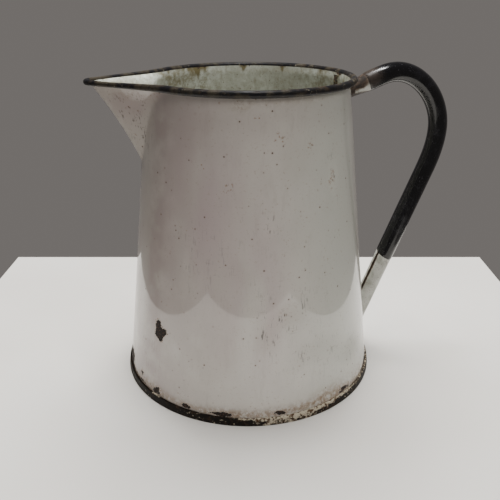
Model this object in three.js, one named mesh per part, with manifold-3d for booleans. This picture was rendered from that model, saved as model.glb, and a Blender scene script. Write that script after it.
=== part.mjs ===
// Enamelled sheet-steel pouring jug: tapered wall, V-shaped spout, rolled and wired rim, folded foot and a
// hollow tubular handle. Millimetres, +Z up. The handle points along +X and the spout along -X.
// The origin is on the table, in the middle between the spout's tip and the handle's outermost point.

import * as THREE from 'three';
import { ParametricGeometry } from 'three/addons/geometries/ParametricGeometry.js';
import { mergeVertices } from 'three/addons/utils/BufferGeometryUtils.js';
import Module from 'manifold-3d';

// ---------------------------------------------------------------- driving dimensions

// Overall form
const JUG_HEIGHT = 204.4;          // table to the top of the rolled rim
const FOOT_RADIUS = 88.5;          // outside of the folded foot
const MOUTH_RADIUS = 68.6;         // outside of the rolled rim
const SEAT_GAP = 0.3;              // clearance between pieces that touch

// Sheet thicknesses, enamel included
const WALL_SHEET = 1.2;
const BASE_SHEET = 1.0;
const SPOUT_SHEET = 1.2;
const ROLL_SHEET = 0.7;
const HANDLE_SHEET = 1.0;

// Rolled and wired rim
const RIM_BEAD_RADIUS = 2.2;       // round the mouth
const TIP_BEAD_RADIUS = 1.6;       // at the spout's tip, where the roll is hammered thinner
const RIM_WIRE_RADIUS = 0.55;
const ROLL_SLIT = 0.9;             // open line between the curl's free edge and the wall
const ROLL_SLIT_ANGLE = 235;       // where that line points, from outward by way of up, degrees

// Folded foot and raised bottom
const FOOT_FOLD_HEIGHT = 5.2;      // how far the fold climbs the wall
const BASE_RISE = 6.0;             // underside clearance of the raised bottom at its edge
const BASE_DOME = 1.4;             // extra rise at the centre
const BASE_BEND = 1.2;             // size of the bend between bottom and skirt
const FOOT_CHAMFER = 0.8;

// Side seam
const SEAM_AZIMUTH = 12;           // degrees from the handle
const SEAM_WIDTH = 4.6;
const SEAM_THICKNESS = 1.1;
const SEAM_GROOVE = 0.5;
const SEAM_SEAT = 0.4;             // clearance between the flat strip and the round wall

// Spout
const SPOUT_REACH = 101.6;         // jug axis to the outside of the tip
const SPOUT_DEPTH = 51.5;          // centre of the rim down to the keel's foot
const SPOUT_ROOT_ANGLE = 18;       // half angle of the root along most of its height, degrees
const SPOUT_FLARE_ANGLE = 22;      // what the flare at the rim adds to it, degrees
const SPOUT_FLARE_POWER = 5;       // how late the flare starts
const FLANK_HOLLOW = 1.1;          // how much hollower the flanks are at the rim than at the keel's foot
const SPOUT_ROW_CROWDING = 1.4;    // above 1, the spout's rows crowd towards the keel's foot
const NOTCH_SHARE = 0.8;           // width of the wall's notch as a share of the spout's root
const NOTCH_REACH = 0.2;           // how far the notch's cutter stands off the wall, as a share of the radius
const NOTCH_OVERRUN = 6;           // how far that cutter runs past the top
const NOTCH_START = 4;             // height of the notch's point above the keel's foot
const KEEL_ROUNDING = 4.0;         // radius of the keel and of the tip in plan
const KEEL_BOW = -2.0;             // how far the keel bows outward from a straight line; below zero it is hollow

// Handle
const HANDLE_RADIUS = 5.75;        // outside of the bare tube
const GRIP_COAT = 0.4;             // thickness of the black coat
const HANDLE_REACH = 139.3;        // jug axis to the outside of the grip
const HANDLE_REACH_DROP = 37.2;    // centre of the rim down to the outermost point
const CREST_OUT = 30.8;            // outside of the rim out to the crest of the arch
const CREST_RISE = 1.4;            // centre of the rim up to the crest of the tube's centreline
const STRAIGHT_INSET = 0.25;       // where the straight leg starts, as a share of crest to outermost point
// How long the centreline keeps its direction past each point, as a share of the span it bends over.
const ROOT_HOLD = 0.7;
const BEFORE_CREST_HOLD = 0.2;
const AFTER_CREST_HOLD = 0.51;
const BEFORE_OUTERMOST_HOLD = 0.52;
const AFTER_OUTERMOST_HOLD = 0.38;
const STRAIGHT_HOLD = 0.32;
const HANDLE_ROOT_RISE = 25;       // degrees above level at which the handle leaves the rim
const HANDLE_ROOT_CLEARANCE = 2.6; // between the rim's roll and the handle at the wall
const HANDLE_FOOT_HEIGHT = 27;     // where the centreline meets the wall again
const STRAIGHT_TOP_HEIGHT = 131;   // where the straight lower stretch begins
const SEAM_TWIST = 18;             // degrees that the tube's open seam is turned off the inner side
const SEAM_SLIT = 0.9;             // width of the open seam
const SEAM_SLIT_AT_TOP = 6.0;      // its width at the upper end, where the tube is spread
const SPREAD_LENGTH = 16;          // length from the wall over which it is spread
const GRIP_FROM_ROOT = 15;         // bare tube between the wall and the black coat at the upper end
const GRIP_FROM_FOOT = 49;         // the same at the lower end

// Facets
const ROUND_STEPS = 72;
const RIM_EVEN_SHARE = 0.35;       // the rest of the rim's steps crowd towards the tip
const RIM_STEPS = 84;
const RIM_SIDES = 10;
const HANDLE_STEPS = 36;
const HANDLE_SIDES = 14;

// Colours
const WHITE_ENAMEL = 0xb9b8b0;
const DARK_ENAMEL = 0x2a2522;
const BLACK_ENAMEL = 0x14151a;
const WIRE_STEEL = 0x5a5047;

// ---------------------------------------------------------------- derived sizes

const rimZ = JUG_HEIGHT - RIM_BEAD_RADIUS;
const rimPathRadius = MOUTH_RADIUS - RIM_BEAD_RADIUS;
const wallFootRadius = FOOT_RADIUS - BASE_SHEET - SEAT_GAP;
const wallTopRadius = rimPathRadius - RIM_BEAD_RADIUS;
const tipSheetReach = SPOUT_REACH - 2 * TIP_BEAD_RADIUS;
const keelFootZ = rimZ - SPOUT_DEPTH;
const gripRadius = HANDLE_RADIUS + SEAT_GAP + GRIP_COAT;
const centreOffset = (HANDLE_REACH - SPOUT_REACH) / 2;

const radians = THREE.MathUtils.degToRad;

// Outside radius of the wall, a straight taper from the foot to the rim.
function wallRadius(z) {
  return wallFootRadius + (wallTopRadius - wallFootRadius) * z / rimZ;
}

// ---------------------------------------------------------------- solids

const wasm = await Module();
wasm.setup();

// A closed geometry as a solid, with its faces pointing outward.
function solidOf(geometry) {
  geometry.deleteAttribute('normal');
  geometry.deleteAttribute('uv');
  const merged = mergeVertices(geometry, 1e-4);
  const position = merged.getAttribute('position');
  const index = merged.getIndex();
  const corner = [new THREE.Vector3(), new THREE.Vector3(), new THREE.Vector3()];
  const triangles = [];
  let volume = 0;
  for (let i = 0; i < index.count; i += 3) {
    const ids = [index.getX(i), index.getX(i + 1), index.getX(i + 2)];
    if (new Set(ids).size < 3) continue;
    ids.forEach((id, k) => corner[k].fromBufferAttribute(position, id));
    volume += corner[0].dot(corner[1].cross(corner[2]));
    triangles.push(ids);
  }
  const outward = volume > 0 ? triangles : triangles.map(([a, b, c]) => [a, c, b]);
  const mesh = new wasm.Mesh({
    numProp: 3,
    vertProperties: new Float32Array(position.array),
    triVerts: new Uint32Array(outward.flat()),
  });
  return new wasm.Manifold(mesh);
}

function geometryOf(solid) {
  const mesh = solid.getMesh();
  const geometry = new THREE.BufferGeometry();
  geometry.setAttribute('position', new THREE.BufferAttribute(mesh.vertProperties, 3));
  geometry.setIndex(new THREE.BufferAttribute(mesh.triVerts, 1));
  return geometry;
}

// A profile of [radius, height] points turned about the Z axis.
function turned(profile) {
  const points = profile.map(([r, z]) => new THREE.Vector2(r, z));
  return solidOf(new THREE.LatheGeometry(points, ROUND_STEPS).rotateX(Math.PI / 2));
}

// The space inside a cone that stands off the wall's outside by a clearance.
function coneSpace(clearance) {
  const low = -20;
  const high = JUG_HEIGHT + 20;
  return turned([
    [0, low],
    [wallRadius(low) + clearance, low],
    [wallRadius(high) + clearance, high],
    [0, high],
  ]);
}

// ---------------------------------------------------------------- spout shape

// Share of the spout's height, 0 at the keel's foot and 1 at the rim.
function spoutShare(z) {
  return THREE.MathUtils.clamp((z - keelFootZ) / SPOUT_DEPTH, 0, 1);
}

// Half angle of the spout's root, seen from the jug's axis: it opens like a square root from the keel's foot,
// and flares out to meet the rim.
function rootAngle(share) {
  const opening = SPOUT_ROOT_ANGLE * Math.sqrt(share);
  const flare = SPOUT_FLARE_ANGLE * share ** SPOUT_FLARE_POWER;
  return radians(Math.max(opening + flare, 0.5));
}

// Distance of the keel from the jug's axis: a straight line bowed slightly outward or inward.
function keelReach(share) {
  const footReach = wallRadius(keelFootZ);
  const bow = 4 * KEEL_BOW * share * (1 - share);
  return footReach + (tipSheetReach - footReach) * share + bow;
}

// How much of the keel's reach is left at an angle off it, 1 at the keel and 0 at the root: straight flanks low
// down, hollow ones near the rim, and a rounded keel.
function flankShare(angle, share) {
  const root = rootAngle(share);
  const rounding = KEEL_ROUNDING / keelReach(share) / root;
  const soft = (x) => Math.hypot(x, rounding) - rounding;
  const across = soft(Math.min(Math.abs(angle) / root, 1)) / soft(1);
  return (1 - across) ** (1 + FLANK_HOLLOW * share ** 2);
}

// Outside of the wall and spout at an angle off the spout's middle.
function spoutRadius(angle, z) {
  const share = spoutShare(z);
  const wall = wallRadius(z);
  return wall + (keelReach(share) - wall) * flankShare(angle, share);
}

// Point of that outside, moved inward by an inset square to the outline in plan.
function spoutPoint(angle, z, inset, target) {
  const step = 1e-3;
  const at = (a) => {
    const r = spoutRadius(a, z);
    return new THREE.Vector2(-r * Math.cos(a), -r * Math.sin(a));
  };
  const point = at(angle);
  const along = at(angle + step).sub(at(angle - step)).normalize();
  return target.set(point.x - along.y * inset, point.y + along.x * inset, z);
}

// The space under the spout's outside, moved inward by an inset and closed through the jug's inside.
function spoutSpace(inset, topZ) {
  const slices = 36;
  const rows = 12;
  const edge = 0.82;
  const farAngle = radians(60);
  const tuck = 2.5;
  const centre = -0.75 * wallTopRadius;
  const place = (u, v, target) => {
    const row = Math.round(v * (rows + 2)) - 1;
    const inside = THREE.MathUtils.clamp(row, 0, rows) / rows;
    const z = keelFootZ + (topZ - keelFootZ) * inside ** SPOUT_ROW_CROWDING;
    if (row < 0 || row > rows) return target.set(centre, 0, z);
    const across = u > 1 - 1e-6 ? -1 : 2 * u * slices / (slices - 1) - 1;
    const side = Math.sign(across);
    const reach = Math.abs(across) / edge;
    const root = rootAngle(spoutShare(z));
    if (reach <= 1) return spoutPoint(side * root * reach ** 1.3, z, inset, target);
    const past = (reach - 1) / (1 / edge - 1);
    const angle = side * (root + (farAngle - root) * past);
    const radius = wallRadius(z) - inset - tuck * Math.min(1, 4 * past);
    return target.set(-radius * Math.cos(angle), -radius * Math.sin(angle), z);
  };
  return solidOf(new ParametricGeometry(place, slices, rows + 2));
}

// The V notch cut in the wall under the spout, a wedge a little narrower than the spout's root.
function notchSpace() {
  const sides = 4;
  const rows = 14;
  const low = keelFootZ + NOTCH_START;
  const high = JUG_HEIGHT + NOTCH_OVERRUN;
  const place = (u, v, target) => {
    const row = Math.round(v * (rows + 2)) - 1;
    const z = low + (high - low) * THREE.MathUtils.clamp(row / rows, 0, 1);
    if (row < 0 || row > rows) return target.set(-wallRadius(z), 0, z);
    const corner = Math.round(u * sides) % sides;
    const side = corner < 2 ? -1 : 1;
    const angle = side * NOTCH_SHARE * rootAngle(spoutShare(z));
    const radius = wallRadius(z) * (corner === 1 || corner === 2 ? 1 + NOTCH_REACH : 1 - NOTCH_REACH);
    return target.set(-radius * Math.cos(angle), -radius * Math.sin(angle), z);
  };
  return solidOf(new ParametricGeometry(place, sides, rows + 2));
}

// ---------------------------------------------------------------- rim path

// Angle off the spout's middle at a place round the mouth, 0 to 1, with closer steps towards the spout's tip.
function rimAngle(place) {
  const across = 2 * place - 1;
  const crowded = Math.sign(across) * Math.abs(across) ** 2;
  return Math.PI * (RIM_EVEN_SHARE * across + (1 - RIM_EVEN_SHARE) * crowded);
}

function rimBeadRadius(angle) {
  const share = Math.min(Math.abs(angle) / rootAngle(1), 1);
  return TIP_BEAD_RADIUS + (RIM_BEAD_RADIUS - TIP_BEAD_RADIUS) * share;
}

// Centre and outward direction of the rim's roll.
function rimFrame(angle) {
  const sheet = spoutPoint(angle, rimZ, 0, new THREE.Vector3());
  const moved = spoutPoint(angle, rimZ, -1, new THREE.Vector3());
  const outward = moved.sub(sheet);
  const centre = sheet.addScaledVector(outward, rimBeadRadius(angle));
  return { centre, outward };
}

// A section carried round the mouth; section(share, bead) gives [outward, up] for a share of its outline.
function sweptRim(section, sectionSteps) {
  const place = (u, v, target) => {
    const angle = rimAngle(v > 1 - 1e-6 ? 0 : v);
    const { centre, outward } = rimFrame(angle);
    const [out, up] = section(u, rimBeadRadius(angle));
    return target.copy(centre).addScaledVector(outward, out).setZ(rimZ + up);
  };
  return solidOf(new ParametricGeometry(place, sectionSteps, RIM_STEPS));
}

// The roll's round section, grown or shrunk by a margin.
function rimRound(margin, sides) {
  return sweptRim((share, bead) => {
    const turn = 2 * Math.PI * share;
    return [(bead + margin) * Math.cos(turn), (bead + margin) * Math.sin(turn)];
  }, sides);
}

// Section of the roll itself: out along the outer circle and back along the inner one, open at a slit that
// points down and towards the wall.
function rolledSection(share, bead) {
  const slit = radians(ROLL_SLIT_ANGLE);
  const half = Math.asin(ROLL_SLIT / 2 / bead);
  const points = RIM_SIDES;
  const index = Math.round(share * 2 * points) % (2 * points);
  const outer = index < points;
  const around = (outer ? index : 2 * points - 1 - index) / (points - 1);
  const turn = slit + half + (2 * Math.PI - 2 * half) * around;
  const radius = outer ? bead : bead - ROLL_SHEET;
  return [radius * Math.cos(turn), radius * Math.sin(turn)];
}

// ---------------------------------------------------------------- handle path

const handleRoot = (() => {
  const rise = radians(HANDLE_ROOT_RISE);
  const drop = RIM_BEAD_RADIUS + HANDLE_ROOT_CLEARANCE + HANDLE_RADIUS / Math.cos(rise);
  const z = rimZ - drop;
  return new THREE.Vector2(wallRadius(z), z);
})();
const handleFoot = new THREE.Vector2(wallRadius(HANDLE_FOOT_HEIGHT), HANDLE_FOOT_HEIGHT);
const crest = new THREE.Vector2(MOUTH_RADIUS + CREST_OUT, rimZ + CREST_RISE);
const outermost = new THREE.Vector2(HANDLE_REACH - gripRadius, rimZ - HANDLE_REACH_DROP);

// The centreline in the XZ plane: up from the wall, over the crest, round the outermost point, then straight
// down to the wall. Both ends run on into the wall, where the tube is cut to its shape.
const rootRunOn = 3 * HANDLE_RADIUS;
const footRunOn = 6 * HANDLE_RADIUS;
const handlePath = (() => {
  const rise = radians(HANDLE_ROOT_RISE);
  const rootWay = new THREE.Vector2(Math.cos(rise), Math.sin(rise));
  const start = handleRoot.clone().addScaledVector(rootWay, -rootRunOn);
  const bow = outermost.x - crest.x;
  const fall = crest.y - outermost.y;
  const straightOut = outermost.x - STRAIGHT_INSET * bow;
  const straightTop = new THREE.Vector2(straightOut, STRAIGHT_TOP_HEIGHT);
  const downWay = handleFoot.clone().sub(straightTop).normalize();
  const end = handleFoot.clone().addScaledVector(downWay, footRunOn);
  const bend = outermost.y - straightTop.y;
  const path = new THREE.CurvePath();
  const level = (point, dx, dy) => new THREE.Vector2(point.x + dx, point.y + dy);
  path.add(new THREE.LineCurve(start, handleRoot));
  path.add(new THREE.CubicBezierCurve(
    handleRoot,
    handleRoot.clone().addScaledVector(rootWay, ROOT_HOLD * (crest.x - handleRoot.x)),
    level(crest, -BEFORE_CREST_HOLD * (crest.x - handleRoot.x), 0),
    crest,
  ));
  path.add(new THREE.CubicBezierCurve(
    crest,
    level(crest, AFTER_CREST_HOLD * bow, 0),
    level(outermost, 0, BEFORE_OUTERMOST_HOLD * fall),
    outermost,
  ));
  path.add(new THREE.CubicBezierCurve(
    outermost,
    level(outermost, 0, -AFTER_OUTERMOST_HOLD * bend),
    straightTop.clone().addScaledVector(downWay, -STRAIGHT_HOLD * bend),
    straightTop,
  ));
  path.add(new THREE.LineCurve(straightTop, end));
  return path;
})();
const handleLength = handlePath.getLength();
const gripStart = (rootRunOn + GRIP_FROM_ROOT) / handleLength;
const gripEnd = 1 - (footRunOn + GRIP_FROM_FOOT) / handleLength;

// A section carried along part of the handle, closed at both ends. section(share, along) gives
// [outward, sideways] for a share of its outline, and hub(along) is a point in its middle.
function sweptHandle(section, hub, sides, from, to) {
  const steps = Math.round(HANDLE_STEPS * (to - from));
  const rows = steps + 2;
  const place = (u, v, target) => {
    const row = Math.round(v * rows) - 1;
    const along = from + (to - from) * THREE.MathUtils.clamp(row / steps, 0, 1);
    const centre = handlePath.getPointAt(along);
    const way = handlePath.getTangentAt(along);
    const [out, side] = row < 0 || row > steps ? hub(along) : section(u, along);
    return target.set(centre.x - way.y * out, side, centre.y + way.x * out);
  };
  return solidOf(new ParametricGeometry(place, sides, rows));
}

function handleRod(radius, from, to) {
  const section = (share) => {
    const turn = 2 * Math.PI * share;
    return [radius * Math.cos(turn), radius * Math.sin(turn)];
  };
  return sweptHandle(section, () => [0, 0], HANDLE_SIDES, from, to);
}

// A bar from the middle of the tube out through the side that faces the jug, turned by the seam's twist.
// It is widest at the upper end, where the tube is spread open.
function handleSlit() {
  const direction = Math.PI + radians(SEAM_TWIST);
  const reach = HANDLE_RADIUS + SEAT_GAP;
  const polar = (far, side) => [
    far * Math.cos(direction) - side * Math.sin(direction),
    far * Math.sin(direction) + side * Math.cos(direction),
  ];
  const section = (share, along) => {
    const corner = Math.floor(share * 4 + 0.5) % 4;
    const spread = Math.max(1 - (along * handleLength - rootRunOn) / SPREAD_LENGTH, 0);
    const width = SEAM_SLIT + (SEAM_SLIT_AT_TOP - SEAM_SLIT) * Math.min(spread, 1);
    return polar(corner === 1 || corner === 2 ? reach : 1, (corner < 2 ? -1 : 1) * width / 2);
  };
  return sweptHandle(section, () => polar(reach / 2, 0), 4, 0, 1);
}

// ---------------------------------------------------------------- the pieces

const overRim = JUG_HEIGHT + 6;
const spoutOuter = spoutSpace(0, rimZ);
const spoutInner = spoutSpace(SPOUT_SHEET, overRim);
const wallStandOff = coneSpace(SEAT_GAP);
const rimStandOff = rimRound(SEAT_GAP, RIM_SIDES);

// Tapered wall: its foot stands in the channel of the base's fold, its top edge ends under the rim's roll, and
// the spout's inside is cut out of it.
function bodyWall() {
  const footZ = BASE_SHEET + SEAT_GAP;
  const profile = [
    [wallRadius(footZ) - WALL_SHEET, footZ],
    [wallRadius(footZ), footZ],
    [wallRadius(rimZ), rimZ],
    [wallRadius(rimZ) - WALL_SHEET, rimZ],
    [wallRadius(footZ) - WALL_SHEET, footZ],
  ];
  return turned(profile).subtract(notchSpace()).subtract(rimStandOff);
}

// Spout: a sheet between two spaces, seated on the wall's outside.
function spout() {
  return spoutOuter.subtract(spoutInner).subtract(wallStandOff).subtract(rimStandOff);
}

// Bottom: a raised disc, a skirt down inside the wall, a flat ring to stand on, and a fold up outside the wall.
function basePan() {
  const innerLeg = (z) => wallRadius(z) - WALL_SHEET - SEAT_GAP;
  const outerLeg = (z) => wallRadius(z) + SEAT_GAP;
  const top = BASE_RISE + BASE_SHEET;
  return turned([
    [0, top + BASE_DOME],
    [innerLeg(top) * 0.5, top + BASE_DOME * 0.75],
    [innerLeg(top) - BASE_BEND, top],
    [innerLeg(top - BASE_BEND), top - BASE_BEND],
    [innerLeg(BASE_SHEET), BASE_SHEET],
    [outerLeg(BASE_SHEET), BASE_SHEET],
    [outerLeg(FOOT_FOLD_HEIGHT), FOOT_FOLD_HEIGHT],
    [outerLeg(FOOT_FOLD_HEIGHT) + BASE_SHEET / 2, FOOT_FOLD_HEIGHT],
    [outerLeg(FOOT_FOLD_HEIGHT - FOOT_CHAMFER) + BASE_SHEET, FOOT_FOLD_HEIGHT - FOOT_CHAMFER],
    [outerLeg(FOOT_CHAMFER) + BASE_SHEET, FOOT_CHAMFER],
    [outerLeg(0) + BASE_SHEET - FOOT_CHAMFER, 0],
    [innerLeg(0) - BASE_SHEET, 0],
    [innerLeg(BASE_RISE - BASE_BEND) - BASE_SHEET, BASE_RISE - BASE_BEND],
    [innerLeg(BASE_RISE) - BASE_SHEET - BASE_BEND, BASE_RISE],
    [innerLeg(top) * 0.5, BASE_RISE + BASE_DOME * 0.75],
    [0, BASE_RISE + BASE_DOME],
  ]);
}

function rimRoll() {
  return sweptRim(rolledSection, 2 * RIM_SIDES);
}

function rimWire() {
  return sweptRim((share) => {
    const turn = 2 * Math.PI * share;
    return [RIM_WIRE_RADIUS * Math.cos(turn), RIM_WIRE_RADIUS * Math.sin(turn)];
  }, 6);
}

// Handle tube: open along its seam, cut to the wall's shape at both ends.
function handleTube() {
  const bore = handleRod(HANDLE_RADIUS - HANDLE_SHEET, 0, 1);
  return handleRod(HANDLE_RADIUS, 0, 1)
    .subtract(bore)
    .subtract(handleSlit())
    .subtract(wallStandOff);
}

// Black coat: a closed sleeve round the middle of the tube.
function handleGrip() {
  return handleRod(gripRadius, 0, 1)
    .subtract(handleRod(HANDLE_RADIUS + SEAT_GAP, 0, 1))
    .intersect(handleRod(2 * gripRadius, gripStart, gripEnd));
}

// Folded seam: a flat strip with a groove, leaning with the inside of the wall.
function sideSeam() {
  const half = SEAM_WIDTH / 2;
  const outline = new THREE.Shape([
    new THREE.Vector2(-half, 0),
    new THREE.Vector2(half, 0),
    new THREE.Vector2(half, SEAM_THICKNESS),
    new THREE.Vector2(SEAM_GROOVE, SEAM_THICKNESS),
    new THREE.Vector2(0, SEAM_THICKNESS - SEAM_GROOVE),
    new THREE.Vector2(-SEAM_GROOVE, SEAM_THICKNESS),
    new THREE.Vector2(-half, SEAM_THICKNESS),
  ]);
  const low = BASE_RISE + BASE_SHEET + SEAT_GAP;
  const high = rimZ - RIM_BEAD_RADIUS - SEAT_GAP;
  const lean = wallRadius(low) - wallRadius(high);
  const depth = Math.hypot(high - low, lean);
  const geometry = new THREE.ExtrudeGeometry(outline, { depth, bevelEnabled: false });
  geometry.rotateZ(Math.PI / 2);
  geometry.rotateY(-Math.atan2(lean, high - low));
  geometry.translate(wallRadius(low) - WALL_SHEET - SEAM_SEAT, 0, low);
  return solidOf(geometry);
}

// ---------------------------------------------------------------- assembly

function piece(name, solid, color, roughness, metalness = 0) {
  const material = new THREE.MeshStandardMaterial({ color, roughness, metalness });
  const mesh = new THREE.Mesh(geometryOf(solid), material);
  mesh.name = name;
  return mesh;
}

const vessel = new THREE.Group();
vessel.add(piece('body_wall', bodyWall(), WHITE_ENAMEL, 0.3));
vessel.add(piece('base_pan', basePan(), DARK_ENAMEL, 0.45));
vessel.add(piece('spout', spout(), WHITE_ENAMEL, 0.3));
vessel.add(piece('rim_roll', rimRoll(), DARK_ENAMEL, 0.4));
vessel.add(piece('rim_wire', rimWire(), WIRE_STEEL, 0.6, 1));

const seam = piece('side_seam', sideSeam(), WHITE_ENAMEL, 0.3);
seam.rotation.z = radians(SEAM_AZIMUTH);
vessel.add(seam);

const handle = new THREE.Group();
handle.add(piece('handle_tube', handleTube(), WHITE_ENAMEL, 0.3));
handle.add(piece('handle_grip', handleGrip(), BLACK_ENAMEL, 0.15));

const jug = new THREE.Group();
jug.add(vessel, handle);
jug.position.x = -centreOffset;

export default jug;
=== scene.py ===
"""Enamelled sheet-steel pouring jug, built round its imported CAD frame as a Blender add-on with a sidebar
panel."""
import math

import bpy
import numpy as np
from bpy.props import FloatProperty, FloatVectorProperty, PointerProperty
from mathutils import Matrix, Vector


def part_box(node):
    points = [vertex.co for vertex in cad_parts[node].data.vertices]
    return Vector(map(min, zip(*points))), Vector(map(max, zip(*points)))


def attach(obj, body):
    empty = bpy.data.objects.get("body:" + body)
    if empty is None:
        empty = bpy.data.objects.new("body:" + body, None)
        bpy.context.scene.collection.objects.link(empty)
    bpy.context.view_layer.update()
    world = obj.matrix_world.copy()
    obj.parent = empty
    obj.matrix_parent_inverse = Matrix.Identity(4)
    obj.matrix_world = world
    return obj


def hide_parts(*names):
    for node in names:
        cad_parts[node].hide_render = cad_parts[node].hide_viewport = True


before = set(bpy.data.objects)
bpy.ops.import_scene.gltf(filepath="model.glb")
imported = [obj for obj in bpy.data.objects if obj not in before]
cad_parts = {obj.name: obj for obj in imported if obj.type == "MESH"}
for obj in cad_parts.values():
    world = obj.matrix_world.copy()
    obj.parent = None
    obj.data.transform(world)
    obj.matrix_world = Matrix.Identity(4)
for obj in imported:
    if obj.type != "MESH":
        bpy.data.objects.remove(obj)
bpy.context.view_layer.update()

bl_info = {
    "name": "Enamelled Jug",
    "version": (1, 0, 0),
    "blender": (4, 5, 0),
    "location": "View3D > Sidebar > Jug",
    "description": "Builds an old enamelled pouring jug with procedural enamel and rust",
    "category": "Add Mesh",
}

MM = 0.001
TAU = 2 * math.pi

WALL_COLUMNS = 430     # points round the wall and spout
OUTSIDE_ROWS = 112     # rows up the outside of the wall
INSIDE_ROWS = 92       # and down its inside
RIM_COLUMNS = 820      # points round the rolled rim, close enough for its small dents
ROLL_ROWS = 24         # rows over each face of the roll's open ring
FOOT_COLUMNS = 480
BOTTOM_COLUMNS = 200
SEAM_ROWS = 150
SEAM_COLUMNS = 25      # points over each face of the seam
TUBE_ROWS = 150
TUBE_COLUMNS = 33      # points round each face of the handle's open tube
GRIP_ROWS = 190
GRIP_COLUMNS = 56


# ---------------------------------------------------------------- sizes taken from the frame


def frame_sizes():
    """The jug's driving sizes, measured on the boxes of the CAD nodes, in metres."""
    base_low, base_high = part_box("base_pan")
    rim_low, rim_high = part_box("rim_roll")
    grip_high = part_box("handle_grip")[1]
    axis_x = (base_low.x + base_high.x) / 2
    return {
        "axis_x": axis_x,
        "foot_radius": (base_high.x - base_low.x) / 2,
        "mouth_radius": rim_high.y,
        "height": rim_high.z,
        "spout_reach": axis_x - rim_low.x,
        "spout_foot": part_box("spout")[0].z,
        "handle_reach": grip_high.x - axis_x,
        "handle_foot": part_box("handle_tube")[0].z,
        "grip_foot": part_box("handle_grip")[0].z,
    }


SIZES = frame_sizes()


def length(name, description, default):
    """A property that is a length in metres."""
    return FloatProperty(name=name, description=description, default=default, unit="LENGTH")


def linear(code):
    """An sRGB hex colour as linear red, green and blue."""
    channels = np.array([int(code[i:i + 2], 16) for i in (1, 3, 5)]) / 255
    straight = np.where(channels <= 0.04045, channels / 12.92, ((channels + 0.055) / 1.055) ** 2.4)
    return tuple(float(channel) for channel in straight)


def colour(name, description, code):
    """A property that is a colour, with its default given as an sRGB hex code."""
    return FloatVectorProperty(name=name, description=description, default=linear(code), size=3, min=0, max=1,
                               subtype="COLOR")


def bearing(name, description, degrees):
    """A property that is an angle, with its default given in degrees."""
    return FloatProperty(name=name, description=description, default=math.radians(degrees), subtype="ANGLE")


class JugSizes(bpy.types.PropertyGroup):
    """Sizes of the jug. The overall ones come from the frame."""

    axis_x: length("Axis", "Place of the jug's axis along X", SIZES["axis_x"])
    height: length("Height", "Table to the top of the rolled rim", SIZES["height"])
    foot_radius: length("Foot radius", "Outside of the folded foot", SIZES["foot_radius"])
    mouth_radius: length("Mouth radius", "Outside of the rolled rim", SIZES["mouth_radius"])
    wall_sheet: length("Wall sheet", "Thickness of the wall with its enamel", 1.2 * MM)
    base_sheet: length("Base sheet", "Thickness of the bottom and its fold", 1.0 * MM)
    seat_gap: length("Seat gap", "Clearance between pieces that touch", 0.3 * MM)
    bead_radius: length("Rim roll", "Radius of the roll round the mouth", 2.2 * MM)
    tip_bead_radius: length("Tip roll", "Radius of the roll at the spout's tip", 1.5 * MM)
    spout_reach: length("Spout reach", "Axis to the outside of the tip", SIZES["spout_reach"])
    spout_foot: length("Keel foot", "Height at which the spout's keel leaves the wall", SIZES["spout_foot"])
    keel_rounding: length("Keel rounding", "Radius of the keel and the tip in plan", 4.0 * MM)
    keel_bow: length("Keel bow", "Outward bow of the keel, hollow below zero", -2.0 * MM)
    tube_radius: length("Tube radius", "Outside of the bare handle tube", 6.1 * MM)
    grip_radius: length("Grip radius", "Outside of the black coat", 6.4 * MM)
    handle_reach: length("Handle reach", "Axis to the outside of the grip", SIZES["handle_reach"])
    fold_height: length("Fold height", "How far the foot's fold climbs the wall", 5.2 * MM)
    base_rise: length("Bottom rise", "Clearance under the edge of the raised bottom", 6.0 * MM)
    base_dome: length("Bottom dome", "Extra rise at the middle of the bottom", 1.4 * MM)


class JugColours(bpy.types.PropertyGroup):
    """Colours of the jug's enamels and of what shows where they have worn."""

    white: colour("White enamel", "Outside coat", "#C6C2BA")
    # Also the colour of the painted reflection and painted shade bands down the wall's sides.
    grime_and_shade: colour("Grime", "Greasy film over the white coat", "#A89C98")
    inside: colour("Inside enamel", "Greenish white coat of the inside", "#C6CBC2")
    # Also the colour of the painted shade inside, towards the handle.
    limescale_and_shade: colour("Scale", "Olive water marks inside", "#827C62")
    rust: colour("Rust", "Dry rust", "#51382A")
    iron: colour("Bare iron", "Oxidised iron in a chip", "#1E1815")
    rim: colour("Rim enamel", "Blue-black coat of the rolled rim", "#141417")
    worn_rim: colour("Worn rim", "Brown olive metal where the coat is rubbed off", "#38332A")
    black: colour("Black enamel", "Coat of the grip", "#07070A")
    cream: colour("Ground coat", "Cream coat that shows along worn edges", "#B9B09C")


class JugStage(bpy.types.PropertyGroup):
    """Table, light and camera."""

    table: colour("Table", "Pale matt table top", "#DAD8D3")
    room: colour("Room", "Grey light of the room", "#726E6B")
    camera_out: length("Camera distance", "Camera to the jug's axis, level", 0.41198)
    camera_height: length("Camera height", "Camera above the table", 0.258)
    camera_turn: bearing("Camera turn", "Place of the camera off the -Y side, towards the spout", 10.13)
    camera_heading: bearing("Heading", "Way the camera looks, off +Y towards the handle", 10.285)
    camera_pitch: bearing("Pitch", "Angle that the camera looks down", 22.97)
    focal_length: FloatProperty(name="Lens", description="Focal length on a 36 mm sensor", default=45.55)


def sizes():
    """The jug's sizes, as the panel shows them."""
    return bpy.context.scene.jug_sizes


def colours():
    """The jug's colours, as the panel shows them."""
    return bpy.context.scene.jug_colours


# ---------------------------------------------------------------- meshes from arrays


SHARP_EDGE = math.radians(50)


def grid_quads(rows, cols, closed):
    """Corner numbers of every quad of a grid whose columns run round, and the row that each quad starts on.
    A closed grid joins its last row to its first."""
    i, j = np.meshgrid(np.arange(rows if closed else rows - 1), np.arange(cols), indexing="ij")
    next_i, next_j = (i + 1) % rows, (j + 1) % cols
    corners = np.stack([i * cols + j, i * cols + next_j, next_i * cols + next_j, next_i * cols + j], -1)
    return corners.reshape(-1, 4), i.reshape(-1)


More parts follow.
